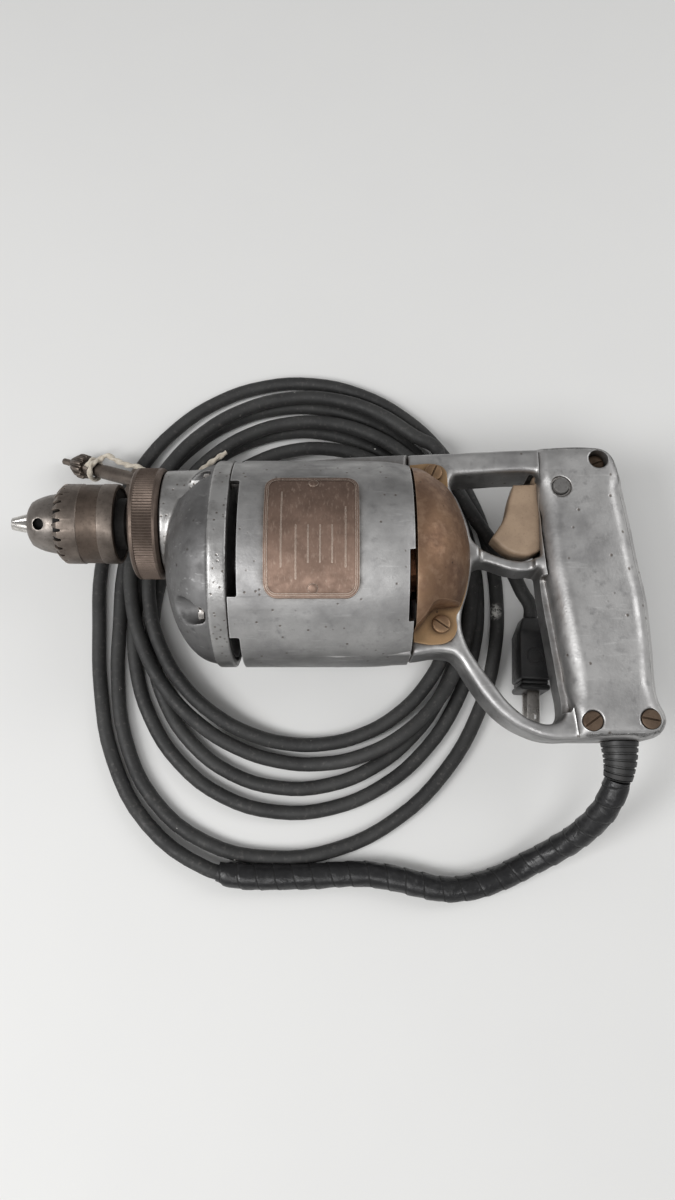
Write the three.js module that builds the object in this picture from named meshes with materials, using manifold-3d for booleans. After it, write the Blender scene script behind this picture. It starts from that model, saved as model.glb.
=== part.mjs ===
// Keyed-chuck electric drill lying on its side, with its coiled cord and its chuck key.
// Millimetres. X runs along the barrel from the chuck to the grip, Y is the drill's own up, Z leaves the floor.
// The drill's pieces are placed from the barrel's axis; the cord, plug and key are placed from the floor.
import * as THREE from 'three';
import { mergeVertices } from 'three/addons/utils/BufferGeometryUtils.js';
import Module from 'manifold-3d';

const wasm = await Module();
wasm.setup();

const degree = Math.PI / 180;
const gap = 0.3;
const overrun = 2;
const weld = 1e-5;
const facets = { barrel: 28, chuck: 24, ring: 20, rod: 12, pin: 8, dome: 20 };

// Motor barrel
const barrel = { radius: 52, wall: 4.5, front: -49.7, shoulder: 10, bend: 24, bendDrop: 0.7, rear: 35, rearDrop: 2.6 };
barrel.bendRadius = barrel.radius - barrel.bendDrop;
barrel.rearRadius = barrel.radius - barrel.rearDrop;
barrel.bore = barrel.radius - barrel.wall;
const topRib = { front: -8, sunk: 6, proud: 2, rearProud: 2.6, half: 12.5 };
const lowRib = { front: -12, sunk: 8, below: 1.7, rearBelow: 3.2, half: 15 };
const vent = { count: 4, depth: 4.4, half: 32.5 * degree, steps: 4 };
const rearNotch = { depth: 2.5, reach: 9, from: -48 * degree, to: -8 * degree };
const housingScrew = {
  count: 4, inside: 3, head: 4.3, headDepth: 3, shank: 2.4, hole: 2.7, boss: 4.5, bossEnd: -30, end: -40, seat: -60.5,
  scoop: 6.2, scoopEnd: -80, innerBoss: 7.6, innerEnd: -78,
};
housingScrew.circle = barrel.bore - housingScrew.inside;
const plate = { front: -33.2, rear: 9.8, half: 28.7, thickness: 0.8, corner: 6 };
const rivet = { x: -11, angle: 28 * degree, radius: 1.75, depth: 2.4, head: 0.8 };

// Gear housing, collar and bearings, with the spindle above the barrel's axis
const spindleHeight = 21.5;
const gearCase = {
  flangeFront: -58.2, flangeStep: 2, domeDepth: 27, domeSteps: 5, neck: 26.8, neckFront: -86.2, neckRear: -60,
  spigot: 21, spigotFront: -101, recess: barrel.bore - gap, recessFront: -55.3, neckBore: 22.6,
  neckBoreFront: -79.5, seatRear: -90, throat: 8.5, bushFront: -80.5,
};
gearCase.domeRadius = barrel.radius - gearCase.flangeStep;
const caseBoreRadiusShares = [[-55.3, 0.9], [-62, 0.88], [-68, 0.84], [-73, 0.75], [-77.5, 0.62]];
const caseBore = caseBoreRadiusShares.map(([x, share]) => [x, share * gearCase.domeRadius]);
const collar = { front: -103.4, rear: -86.5, radius: 28.3, chamfer: 1.4, wall: 2.1, frontWall: 2.1 };
const gearPlate = {
  front: -55, rear: -50.2, radius: gearCase.recess - gap, hub: 14, hubFront: -57.5, hubRear: -48.5, notch: 4.8,
  notchShift: 1.5,
};
const frontBearing = { front: -56.5, rear: -49.5, radius: 11 };
const rearBearing = { front: 56.5, rear: 62.5, radius: 8 };
const spindleBearing = { front: -99, rear: -91, radius: 14 };
const spindleBush = { front: -56, rear: -50.5, radius: 7.5 };

// Gears
const pressureAngle = 20 * degree;
const toothThin = 0.9;
const addendumShare = 0.88;
const dedendumShare = 1.17;
const fewTeeth = 20;
const fastPair = { module: 1, drive: 9, driven: 33, front: -66, rear: -59 };
const slowPair = { module: 1.25, drive: 10, driven: 30, front: -77, rear: -69 };
const fastDistance = (fastPair.drive + fastPair.driven) * fastPair.module / 2;
const slowDistance = (slowPair.drive + slowPair.driven) * slowPair.module / 2;
const sideY = (fastDistance ** 2 - slowDistance ** 2 + spindleHeight ** 2) / (2 * spindleHeight);
const sideZ = -Math.sqrt(fastDistance ** 2 - sideY ** 2);
const sideShaft = { front: -80, rear: -50.8, journal: 2.5, radius: 3.2, bodyFront: -77.2, bodyRear: -58.4 };

// Motor
const armature = {
  front: -66.5, tip: 1.8, tipEnd: -58.2, journal: 4, shoulder: -48.4, radius: 5, rearShoulder: 55.8, rear: 62,
};
const core = { front: -25, rear: 20, radius: 23.6, slots: 10, slotFloor: 13, slotWidth: 4.4, steps: 3 };
const winding = { overhang: 6, radius: 22.4, inner: 7, neck: 13, neckRear: 35.7 };
const commutator = { front: 36, rear: 49, radius: 14 };
const fan = { front: -46, rear: -36, disc: 1.6, radius: 38, hub: 9, blades: 9, blade: 1.6, bladeRoot: 12 };
const field = { outer: barrel.bore - gap, inner: 38, pole: 24.3, half: 52 * degree, steps: 5 };
const fieldCoil = {
  inner: 29, outer: 36.5, turnInner: 27, from: 56 * degree, to: 84 * degree, overhang: 6, steps: 2, turnSteps: 7,
};

// Brush gear
const holder = {
  front: 38, rear: 50, low: -23.5, top: 30, footLow: -19, footTop: 23, footRear: 44, foot: 12.8, plate: 15,
  plateTop: 17.5, tubeLow: 15.3, tubeTop: 38, halfX: 5, halfY: 6, boreX: 3.7, boreY: 4.7, boreTop: 36.3,
};
const brush = { halfX: 3.4, halfY: 4.4, low: 14.3, top: 26 };
const brushSpring = { radius: 2.9, wire: 0.45, low: 26.8, top: 35.8, turns: 2 };
const curl = { steps: 8, sides: 5 };

// Handle: outlines are shares of its reach behind the barrel and of its height
const handle = {
  start: barrel.rear + gap, reach: 119.2, height: 88.5, half: 12.5, bevel: 3, strutHalf: 8, strutFrontShare: 0.2911,
  strutRearShare: 0.5176, strutBandShare: 0.1356, gripHalf: 17, gripBevel: 6, wall: 3.5,
};
const chamber = { half: 20, high: 21, steps: 20 };
const frameOutlineShares = [
  [0.000, 0.617], [0.182, 0.628], [0.543, 0.651], [0.778, 0.658], [0.832, 0.644], [0.867, 0.601],
  [0.888, 0.514], [0.919, 0.260], [0.945, -0.034], [0.965, -0.215], [0.973, -0.497],
  [0.972, -0.723], [0.979, -0.808], [0.998, -0.853], [1.000, -0.904], [0.981, -0.960],
  [0.941, -0.994], [0.836, -0.998], [0.652, -1.000], [0.543, -0.999], [0.459, -0.964],
  [0.372, -0.895], [0.296, -0.789], [0.221, -0.635], [0.187, -0.563], [0.161, -0.538], [0.000, -0.551]];
const fingerWindowShares = [
  [0.195, 0.493], [0.534, 0.511], [0.548, 0.492], [0.548, 0.014], [0.480, -0.005], [0.417, 0.005],
  [0.362, 0.029], [0.312, 0.061], [0.269, 0.097], [0.247, 0.198], [0.212, 0.333], [0.179, 0.435]];
const handWindowShares = [
  [0.264, -0.018], [0.312, -0.010], [0.362, -0.029], [0.417, -0.054], [0.480, -0.063],
  [0.545, -0.050], [0.552, -0.208], [0.577, -0.484], [0.597, -0.719], [0.605, -0.814],
  [0.598, -0.881], [0.560, -0.914], [0.492, -0.906], [0.402, -0.827], [0.325, -0.696],
  [0.262, -0.576], [0.221, -0.469], [0.206, -0.350], [0.237, -0.186]];
const gripOutlineShares = [
  [0.551, 0.651], [0.778, 0.658], [0.832, 0.644], [0.867, 0.601], [0.888, 0.514], [0.919, 0.260],
  [0.945, -0.034], [0.965, -0.215], [0.973, -0.497], [0.972, -0.723], [0.979, -0.808],
  [0.998, -0.853], [1.000, -0.904], [0.981, -0.960], [0.941, -0.994], [0.836, -0.998],
  [0.648, -1.000], [0.634, -0.836], [0.620, -0.719], [0.600, -0.484],
  [0.575, -0.208], [0.558, -0.045], [0.551, 0.147]];

// Commutator covers, one on each side of the frame behind the barrel
const cover = { low: 12.8, thickness: 1.5, wall: 1.5, bulgeDrop: 0.8, bulgeCentre: 36, bulgeLength: 30.5, steps: 5 };
cover.bulge = barrel.rearRadius - cover.bulgeDrop;
const coverOutlineShares = [
  [0.008, 0.540], [0.128, 0.540], [0.157, 0.511], [0.165, 0.452], [0.167, 0.384], [0.209, 0.232],
  [0.239, 0.090], [0.246, -0.011], [0.232, -0.164], [0.199, -0.294], [0.175, -0.333],
  [0.174, -0.395], [0.148, -0.447], [0.090, -0.470], [0.008, -0.456]];
const domeOutlineShares = [
  [0.008, 0.527], [0.046, 0.499], [0.096, 0.410], [0.159, 0.380], [0.204, 0.229], [0.234, 0.090],
  [0.241, -0.011], [0.227, -0.158], [0.194, -0.287], [0.140, -0.296], [0.081, -0.314],
  [0.044, -0.379], [0.008, -0.429]];
const coverScrewShares = [[0.105, 0.488], [0.120, -0.386]];
const coverScrew = { head: 4.3, headHeight: 2.2, shank: 2.2, hole: 2.5, depth: 8 };

// Grip screws, trigger, switch and lock button
const gripScrewShares = [[0.799, 0.569], [0.699, -0.908], [0.927, -0.899]];
const gripScrew = { head: 4.6, headHeight: 2.4, shank: 2.3, hole: 2.6, end: -8, boss: 5.6, sunk: 9.9, counterbore: 4.9 };
const screwSlot = { width: 1, depth: 0.9 };
const triggerOutlineShares = [
  [0.456, 0.459], [0.519, 0.463], [0.534, 0.531], [0.581, 0.549], [0.617, 0.514], [0.605, 0.454],
  [0.586, 0.407], [0.580, 0.226], [0.576, 0.097], [0.519, 0.041], [0.471, 0.035], [0.405, 0.069],
  [0.353, 0.140], [0.380, 0.192], [0.412, 0.263], [0.436, 0.379]];
const pivotShares = [0.581, 0.493];
const trigger = { half: 6.5, bevel: 1.6, hole: 1.9, recess: 4.6, recessFloor: 1.9 };
const pin = { radius: 1.6, half: 10, hole: 1.9, boss: 3.5, bossFace: 7.2 };
const triggerSlot = {
  half: 7.2, frontShare: 0.5428, rearShare: 0.5982, lowShare: 0.009, topShare: 0.4972, sweep: 7.4,
};
const triggerSpring = { radius: 3.3, wire: 0.42, low: 2.5, top: 5.9, turns: 2 };
const switchBody = { frontShare: 0.6837, rearShare: 0.8482, lowShare: 0.0452, topShare: 0.4294, half: 13.2 };
const plunger = { frontShare: 0.5839, rearShare: 0.719, radius: 3, heightShare: 0.2034, boreEndShare: 0.7693 };
const buttonShares = [0.632, 0.400];
const button = {
  radius: 4, low: 14.5, top: 18.2, stem: 1.8, stemLow: 6.8, bore: 4.3, stemBore: 2.1, cup: 5.6, cupLow: 7, seat: 8.5,
};
const buttonSpring = { radius: 3, wire: 0.4, low: 9, top: 14, turns: 2 };

// Cord: inner lead and strain relief in the grip, in the drill's own heights
const cord = { radius: 3.8, sides: 8 };
const exitShares = [0.838, -0.998];
const relief = {
  bore: 4.1, throat: 5.6, flange: 6.9, inside: 5.4, root: 9, tip: 6.8, outside: 0.5, length: 17.7, hole: 5.9,
};
const innerLeadSteps = 12;
const innerLeadShares = [
  [0.7727, -0.0904], [0.7945, -0.3164], [0.8238, -0.5424], [0.838, -0.7458], [0.838, -0.9492]];

// Chuck, on the spindle's axis
const jaw = { tip: -165.5, length: 32.5, radius: 3.4, lean: 15 * degree, tipReach: 3.1, half: 0.15, clearance: 0.3 };
const jawAngles = [60 * degree, -60 * degree, 180 * degree];
const nose = [[-155.9, 9], [-154, 11.5], [-149, 13.8], [-143, 15.2]];
const chuck = {
  front: 15.3, body: 17.9, rear: -110.5, hub: 13, hubRear: -106, bore: 5.2, boreEnd: -138, jawBoreEnd: -114,
  keyHole: 3, keyHoleX: -148.2, keyHoleFloor: 8.5,
};
const nut = { front: -136, rear: -130 };
const sleeve = {
  front: -140.6, lipRear: -137, rear: -110, edge: 17, bevelRear: -137.4, radius: 20.3, lip: 15.7, inner: 18.2,
  bandFront: -128, bandRear: -118, band: 0.3, teeth: 26, tooth: 2.1, toothDepth: 2.2, rearChamfer: 1,
};
const spindle = { front: -122, taperRear: -106, nose: 5.5, radius: 6, shoulder: -57, journal: 4, rear: -50.8 };

// Chuck key, in floor coordinates
const key = {
  tip: [-158, 76, 4.3], yaw: -22.3 * degree, pitch: 20 * degree, pilot: 2.3, head: 8, headEnd: 18, radius: 7, root: 4.6,
  teeth: 11, shank: 4, end: 57, hub: 52,
};
const keyBar = { radius: 2.5, from: -6, to: 38, roll: 10 * degree };
const string = { radius: 1.3, sides: 6, neck: 22, wrap: 6.2, rise: 4.2, turnSteps: 12, turnShare: 1.15, steps: 40 };
const stringPath = [
  [-126, 72.4, 17.6], [-118.8, 69, 19], [-110, 65.4, 20], [-99, 64.6, 21], [-87, 66, 21], [-77, 69, 20.5],
  [-70, 73, 19.4], [-64, 79, 17.7], [-60, 86, 17.2]];

// Taped lead from the strain relief to the floor, then to the coil
const lead = { radius: 6.6, sides: 8, steps: 32 };
const leadPath = [
  [134.6, -118, 48.6], [131.8, -124.2, 41.6], [126.6, -130.6, 31], [118.8, -137, 19.2],
  [108, -143.6, 10.4], [95, -150, 7], [78, -157, 6.9], [65, -159, 6.9], [50, -157, 6.9], [32, -152.6, 6.9],
  [6, -150, 6.9], [-19, -151, 6.9]];

// Coil: spirals in on the floor and out again on top, clockwise from above
const coil = {
  sides: 6, stepsPerLoop: 24, startAngle: 252 * degree, turned: 2002 * degree, endShare: 0.35,
  outer: { a: 113, b: 128, x: -22, y: 4 }, inner: { a: 77, b: 83, x: -16, y: -3 },
  sweepOut: 33, sweepAngle: 66 * degree, floor: 3.9, upper: 12.3, entry: 6.9, entryAngle: 20 * degree,
};
const tailPath = [
  [57.3, 73.6, 12.2], [63.2, 64, 12.3], [68, 54, 12.4], [73.4, 43.6, 12.5], [80.2, 32.4, 12.5], [88.4, 20, 12.5],
  [95.8, 7.4, 12.5], [100.8, -4.4, 12.5]];

// Moulded plug, standing on its narrow edge
const plug = {
  x: 104.4, y: -19.7, z: 12.5, turn: -2.6 * degree, length: 39.8, halfX: 8, halfZ: 12, neckHalfX: 5.4, neckHalfZ: 6,
  neckLength: 9, bevel: 2.2,
};
const blade = { spread: 6.35, width: 6.3, thickness: 1.5, length: 17, root: 6 };

// Turns a geometry into a solid, with its faces pointing out
function toSolid(geometry) {
  const bare = geometry.index ? geometry.toNonIndexed() : geometry.clone();
  bare.deleteAttribute('normal');
  bare.deleteAttribute('uv');
  const merged = mergeVertices(bare, weld);
  const points = merged.getAttribute('position').array;
  const corners = [];
  for (let i = 0; i < merged.index.count; i += 3) {
    const [a, b, c] = [0, 1, 2].map((k) => merged.index.getX(i + k));
    if (a !== b && b !== c && c !== a) corners.push(a, b, c);
  }
  let volume = 0;
  for (let i = 0; i < corners.length; i += 3) {
    const [a, b, c] = [0, 1, 2].map((k) => new THREE.Vector3().fromArray(points, 3 * corners[i + k]));
    volume += a.dot(b.cross(c));
  }
  if (volume < 0) {
    for (let i = 0; i < corners.length; i += 3) {
      [corners[i], corners[i + 1]] = [corners[i + 1], corners[i]];
    }
  }
  const raw = { numProp: 3, vertProperties: new Float32Array(points), triVerts: new Uint32Array(corners) };
  return new wasm.Manifold(new wasm.Mesh(raw));
}

function toGeometry(solid) {
  const mesh = solid.getMesh();
  const geometry = new THREE.BufferGeometry();
  geometry.setAttribute('position', new THREE.BufferAttribute(new Float32Array(mesh.vertProperties), 3));
  geometry.setIndex(new THREE.BufferAttribute(new Uint32Array(mesh.triVerts), 1));
  return geometry;
}

const join = (...solids) => solids.flat().reduce((sum, solid) => sum.add(solid));
const cut = (solid, ...tools) => tools.flat().reduce((rest, tool) => rest.subtract(tool), solid);
const pointOf = ([x, y]) => new THREE.Vector2(x, y);
const alongHandle = (share) => handle.start + share * handle.reach;
const upHandle = (share) => share * handle.height;
const placed = ([x, y]) => [alongHandle(x), upHandle(y)];

// A solid of revolution round a line along X; the facets face straight up and down
function turned(profile, sides, y = 0, z = 0) {
  const lathe = new THREE.LatheGeometry(profile.map(([x, r]) => new THREE.Vector2(r, x)), sides, Math.PI / sides);
  lathe.rotateZ(-Math.PI / 2);
  lathe.translate(0, y, z);
  return toSolid(lathe);
}

function rodX(from, to, radius, sides, y = 0, z = 0) {
  return turned([[from, 0], [from, radius], [to, radius], [to, 0]], sides, y, z);
}

function tubeX(from, to, inner, outer, sides, y = 0, z = 0) {
  return turned([[from, inner], [to, inner], [to, outer], [from, outer], [from, inner]], sides, y, z);
}

function rodZ(from, to, radius, sides, x, y) {
  const rod = new THREE.CylinderGeometry(radius, radius, to - from, sides);
  rod.rotateX(Math.PI / 2);
  rod.translate(x, y, (from + to) / 2);
  return toSolid(rod);
}

// A straight rod between two points, with the given radii at its ends
function rodBetween(from, to, radius, sides, endRadius = radius) {
  const start = new THREE.Vector3(...from);
  const along = new THREE.Vector3(...to).sub(start);
  const rod = new THREE.CylinderGeometry(endRadius, radius, along.length(), sides);
  rod.applyQuaternion(new THREE.Quaternion().setFromUnitVectors(new THREE.Vector3(0, 1, 0), along.clone().normalize()));
  const middle = start.addScaledVector(along, 1 / 2);
  rod.translate(middle.x, middle.y, middle.z);
  return toSolid(rod);
}

function block(x0, x1, y0, y1, z0, z1) {
  const box = new THREE.BoxGeometry(x1 - x0, y1 - y0, z1 - z0);
  box.translate((x0 + x1) / 2, (y0 + y1) / 2, (z0 + z1) / 2);
  return toSolid(box);
}

// Outline in X and Y, thickness along Z, with its edges bevelled where a bevel is given
function slabZ(outline, from, to, bevel = 0, bevelSegments = 2) {
  const slab = new THREE.ExtrudeGeometry(new THREE.Shape(outline.map(pointOf)), {
    depth: to - from - 2 * bevel, steps: 1, bevelEnabled: bevel > 0, bevelThickness: bevel, bevelSize: bevel,
    bevelOffset: -bevel, bevelSegments,
  });
  slab.translate(0, 0, from + bevel);
  return toSolid(slab);
}

// Outline in Y and Z, thickness along X
function slabX(outline, from, to) {
  const slab = new THREE.ExtrudeGeometry(new THREE.Shape(outline.map(pointOf)), {
    depth: to - from, steps: 1, bevelEnabled: false,
  });
  const axes = [new THREE.Vector3(0, 1, 0), new THREE.Vector3(0, 0, 1), new THREE.Vector3(1, 0, 0)];
  slab.applyMatrix4(new THREE.Matrix4().makeBasis(...axes));
  slab.translate(from, 0, 0);
  return toSolid(slab);
}

// Part of a ring round the X axis; angles run from the Z axis towards Y
function sector(x0, x1, inner, outer, from, to, steps) {
  const angles = Array.from({ length: steps + 1 }, (_, i) => from + (to - from) * i / steps);
  const at = (radius, angle) => [radius * Math.sin(angle), radius * Math.cos(angle)];
  return slabX([...angles.map((a) => at(outer, a)), ...angles.reverse().map((a) => at(inner, a))], x0, x1);
}

// Moves every side of an outline inwards, or outwards where the distance is negative
function inset(outline, distance) {
  const area = outline.reduce((sum, [x, y], i) => {
    const [u, v] = outline[(i + 1) % outline.length];
    return sum + x * v - u * y;
  }, 0);
  const side = Math.sign(area) * distance;
  const normal = ([x, y], [u, v]) => {
    const length = Math.hypot(u - x, v - y);
    return [-(v - y) / length, (u - x) / length];
  };
  return outline.map((point, i) => {
    const a = normal(outline[(i + outline.length - 1) % outline.length], point);
    const b = normal(point, outline[(i + 1) % outline.length]);
    const spread = 1 + a[0] * b[0] + a[1] * b[1];
    return [point[0] + side * (a[0] + b[0]) / spread, point[1] + side * (a[1] + b[1]) / spread];
  });
}

const mirrored = (solid) => solid.mirror([0, 0, 1]);
const bothSides = (solid) => [solid, mirrored(solid)];

// A tube of constant radius along a list of points
function tube(points, radius, sides, steps) {
  const path = new THREE.CatmullRomCurve3(points.map((p) => new THREE.Vector3(...p)), false, 'centripetal');
  const disc = Array.from({ length: sides }, (_, i) => {
    const angle = 2 * Math.PI * (i + 1 / 2) / sides;
    return new THREE.Vector2(radius * Math.cos(angle), radius * Math.sin(angle));
  });
  return toSolid(new THREE.ExtrudeGeometry(new THREE.Shape(disc), { steps, bevelEnabled: false, extrudePath: path }));
}

// Points of a coil spring along Z
function springPoints({ radius, low, top, turns }, x, y) {
  const count = turns * curl.steps;
  return Array.from({ length: count + 1 }, (_, i) => {
    const angle = 2 * Math.PI * i / curl.steps;
    return [x + radius * Math.cos(angle), y + radius * Math.sin(angle), low + (top - low) * i / count];
  });
}

// A tube through every point given, with square ends; its rings are carried along without twist
function sweep(points, radius, sides) {
  const corners = points.map((p) => new THREE.Vector3(...p));
  const last = corners.length - 1;
  const direction = corners.map((_, i) => corners[Math.min(i + 1, last)].clone()
    .sub(corners[Math.max(i - 1, 0)]).normalize());
  let across = Math.abs(direction[0].z) > 0.9 ? new THREE.Vector3(1, 0, 0) : new THREE.Vector3(0, 0, 1);
  const vertices = [];
  corners.forEach((corner, i) => {
    across = across.clone().addScaledVector(direction[i], -across.dot(direction[i])).normalize();
    const side = direction[i].clone().cross(across);
    for (let k = 0; k < sides; k += 1) {
      const angle = 2 * Math.PI * (k + 1 / 2) / sides;
      const point = corner.clone().addScaledVector(across, radius * Math.cos(angle))
        .addScaledVector(side, radius * Math.sin(angle));
      vertices.push(point.x, point.y, point.z);
    }
  });
  const faces = [];
  for (let i = 0; i < last; i += 1) {
    for (let k = 0; k < sides; k += 1) {
      const [a, b] = [i * sides + k, i * sides + (k + 1) % sides];
      faces.push(a, b, b + sides, a, b + sides, a + sides);
    }
  }
  for (let k = 1; k < sides - 1; k += 1) {
    faces.push(0, k + 1, k);
    faces.push(last * sides, last * sides + k, last * sides + k + 1);
  }
  const geometry = new THREE.BufferGeometry();
  geometry.setAttribute('position', new THREE.Float32BufferAttribute(vertices, 3));
  geometry.setIndex(faces);
  return toSolid(geometry);
}

// An involute spur gear round a line along X, with one tooth centred on the given angle from Y towards Z
function spurGear(teeth, { module, front, rear }, y, z, toothAngle, bore = 0) {
  const pitch = teeth * module / 2;
  const base = pitch * Math.cos(pressureAngle);
  const involute = (angle) => Math.tan(angle) - angle;
  const halfAt = (radius) => Math.PI / (2 * teeth) * toothThin + involute(pressureAngle)
    - involute(Math.acos(Math.min(1, base / radius)));
  const root = pitch - dedendumShare * module;
  const tip = pitch + addendumShare * module;
  const curve = [[root, halfAt(Math.max(root, base))], [pitch, halfAt(pitch)], [tip, halfAt(tip)]];
  const flank = teeth < fewTeeth ? curve : [curve[0], curve[2]];
  const outline = [];
  for (let i = 0; i < teeth; i += 1) {
    const centre = toothAngle + 2 * Math.PI * i / teeth;
    const rising = flank.map(([r, half]) => [r, centre - half]);
    const falling = [...flank].reverse().map(([r, half]) => [r, centre + half]);
    const sides = [...rising, ...falling];
    outline.push(...sides.map(([r, angle]) => [y + r * Math.cos(angle), z + r * Math.sin(angle)]));
  }
  const blank = slabX(outline, front, rear);
  return bore ? cut(blank, rodX(front - overrun, rear + overrun, bore, facets.rod, y, z)) : blank;
}

// A screw along Z with a slotted head; its head lies from top - headHeight to top
function screwZ(x, y, top, headHeight, head, shank, end) {
  return cut(
    join(rodZ(top - headHeight, top, head, facets.rod, x, y), rodZ(end, top - headHeight / 2, shank, facets.pin, x, y)),
    block(x - head - overrun, x + head + overrun, y - screwSlot.width / 2, y + screwSlot.width / 2,
      top - screwSlot.depth, top + overrun),
  );
}

const root = new THREE.Group();
const drill = new THREE.Group();
drill.position.z = barrel.radius * Math.cos(Math.PI / facets.barrel);
root.add(drill);

const finishes = {
  casting: [0x9a9a98, 0.45, 0.85], darkCasting: [0x6f6f6e, 0.5, 0.8], steel: [0x8b8a88, 0.35, 0.95],
  darkSteel: [0x4a4238, 0.5, 0.85], bronze: [0x6b4f38, 0.5, 0.8], brass: [0xa07a45, 0.45, 0.85],
  copper: [0x9a5a38, 0.45, 0.9], plate: [0x7d5a41, 0.5, 0.7], rubber: [0x3b3c3d, 0.85, 0],
  tape: [0x17181a, 0.35, 0], black: [0x1b1b1c, 0.5, 0], tan: [0xa9835b, 0.55, 0], grey: [0x77787a, 0.5, 0.1],
  rust: [0x7a5638, 0.6, 0.7], twine: [0xcfc6b4, 0.9, 0], carbon: [0x2a2a2c, 0.8, 0.1], laminate: [0x5d5e61, 0.6, 0.7],
};

function piece(parent, name, finish, ...solids) {
  const [color, roughness, metalness] = finishes[finish];
  const parts = solids.flat();
  const solid = parts.length > 1 ? join(parts) : parts[0];
  const mesh = new THREE.Mesh(toGeometry(solid), new THREE.MeshStandardMaterial({ color, roughness, metalness }));
  mesh.name = name;
  parent.add(mesh);
}

// Copies of one piece, each its own mesh
function pieces(parent, names, finish, solids) {
  solids.flat().forEach((solid, i) => piece(parent, Array.isArray(names) ? names[i] : `${names}_${i + 1}`, finish, solid));
}

// Shared outlines and positions
const frameOutline = frameOutlineShares.map(placed);
const gripOutline = gripOutlineShares.map(placed);
const [pivotX, pivotY] = placed(pivotShares);
const [buttonX, buttonY] = placed(buttonShares);
const [exitX, exitY] = placed(exitShares);
const gripScrews = gripScrewShares.map(placed);
const coverScrews = coverScrewShares.map(placed);
const corners = Array.from({ length: housingScrew.count }, (_, i) => {
  const angle = 2 * Math.PI * (i + 1 / 2) / housingScrew.count;
  return [housingScrew.circle * Math.sin(angle), housingScrew.circle * Math.cos(angle)];
});

// Motor housing
{
  const outer = turned([[barrel.front, 0], [barrel.front, barrel.radius], [barrel.shoulder, barrel.radius],
    [barrel.bend, barrel.bendRadius], [barrel.rear, barrel.rearRadius], [barrel.rear, 0]], facets.barrel);
  const topRoot = barrel.radius - topRib.sunk;
  const top = slabZ([[topRib.front, topRoot], [topRib.front, barrel.radius + topRib.proud],
    [barrel.rear, barrel.radius + topRib.rearProud], [barrel.rear, topRoot]], -topRib.half, topRib.half);
  const lowRoot = lowRib.sunk - barrel.radius;
  const low = slabZ([[lowRib.front, lowRoot], [lowRib.front, lowRib.below - barrel.radius],
    [barrel.rear, lowRib.rearBelow - barrel.radius], [barrel.rear, lowRoot]], -lowRib.half, lowRib.half);
  const bore = turned([[barrel.front - overrun, 0], [barrel.front - overrun, barrel.bore],
    [barrel.bend, barrel.bore], [barrel.bend, barrel.rearRadius - barrel.wall],
    [barrel.rear + overrun, barrel.rearRadius - barrel.wall], [barrel.rear + overrun, 0]], facets.barrel);
  const bosses = corners.map(([y, z]) => rodX(barrel.front, housingScrew.bossEnd, housingScrew.boss, facets.rod, y, z));
  const holes = corners.map(([y, z]) => rodX(barrel.front - overrun, housingScrew.end + overrun, housingScrew.hole,
    facets.pin, y, z));
  const slots = Array.from({ length: vent.count }, (_, i) => {
    const middle = 2 * Math.PI * i / vent.count;
    return sector(barrel.front - overrun, barrel.front + vent.depth, barrel.bore - overrun,
      barrel.radius + overrun, middle - vent.half, middle + vent.half, vent.steps);
  });
  const notch = sector(barrel.rear - rearNotch.depth, barrel.rear + overrun, barrel.radius - rearNotch.reach,
    barrel.radius + overrun, rearNotch.from, rearNotch.to, vent.steps);
  const rivetHoles = [-1, 1].map((side) => radialRod(side * rivet.angle, rivet.x, barrel.radius - rivet.depth - gap,
    barrel.radius + overrun, rivet.radius + gap));
  const shell = cut(join(outer, top, low), bore);
  piece(drill, 'motor_housing', 'casting', cut(join(shell, bosses), holes, slots, bothSides(notch), rivetHoles));
}

function radialRod(angle, x, from, to, radius, sides = facets.pin, height = 0) {
  const at = (r) => [x, height + r * Math.sin(angle), r * Math.cos(angle)];
  return rodBetween(at(from), at(to), radius, sides);
}

// Nameplate with its two rivets, on the side that faces up
{
  const inner = barrel.radius + gap;
  const shell = tubeX(plate.front, plate.rear, inner, inner + plate.thickness, facets.barrel);
  const c = plate.corner;
  const cutCorner = c * (1 - Math.SQRT1_2);
  const outline = [];
  [[plate.front, -plate.half, 1, 1], [plate.rear, -plate.half, -1, 1], [plate.rear, plate.half, -1, -1],
    [plate.front, plate.half, 1, -1]].forEach(([x, y, sx, sy], i) => {
    const points = [[x, y + sy * c], [x + sx * cutCorner, y + sy * cutCorner], [x + sx * c, y]];
    outline.push(...(i % 2 ? points.reverse() : points));
  });
  const rivetAt = (side, from, to, radius) => radialRod(side * rivet.angle, rivet.x, from, to, radius);
  const top = inner + plate.thickness + rivet.head;
  piece(drill, 'nameplate', 'plate', shell.intersect(slabZ(outline, 0, barrel.radius + overrun)),
    [-1, 1].map((side) => rivetAt(side, barrel.radius - rivet.depth, top, rivet.radius)));
}

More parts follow.
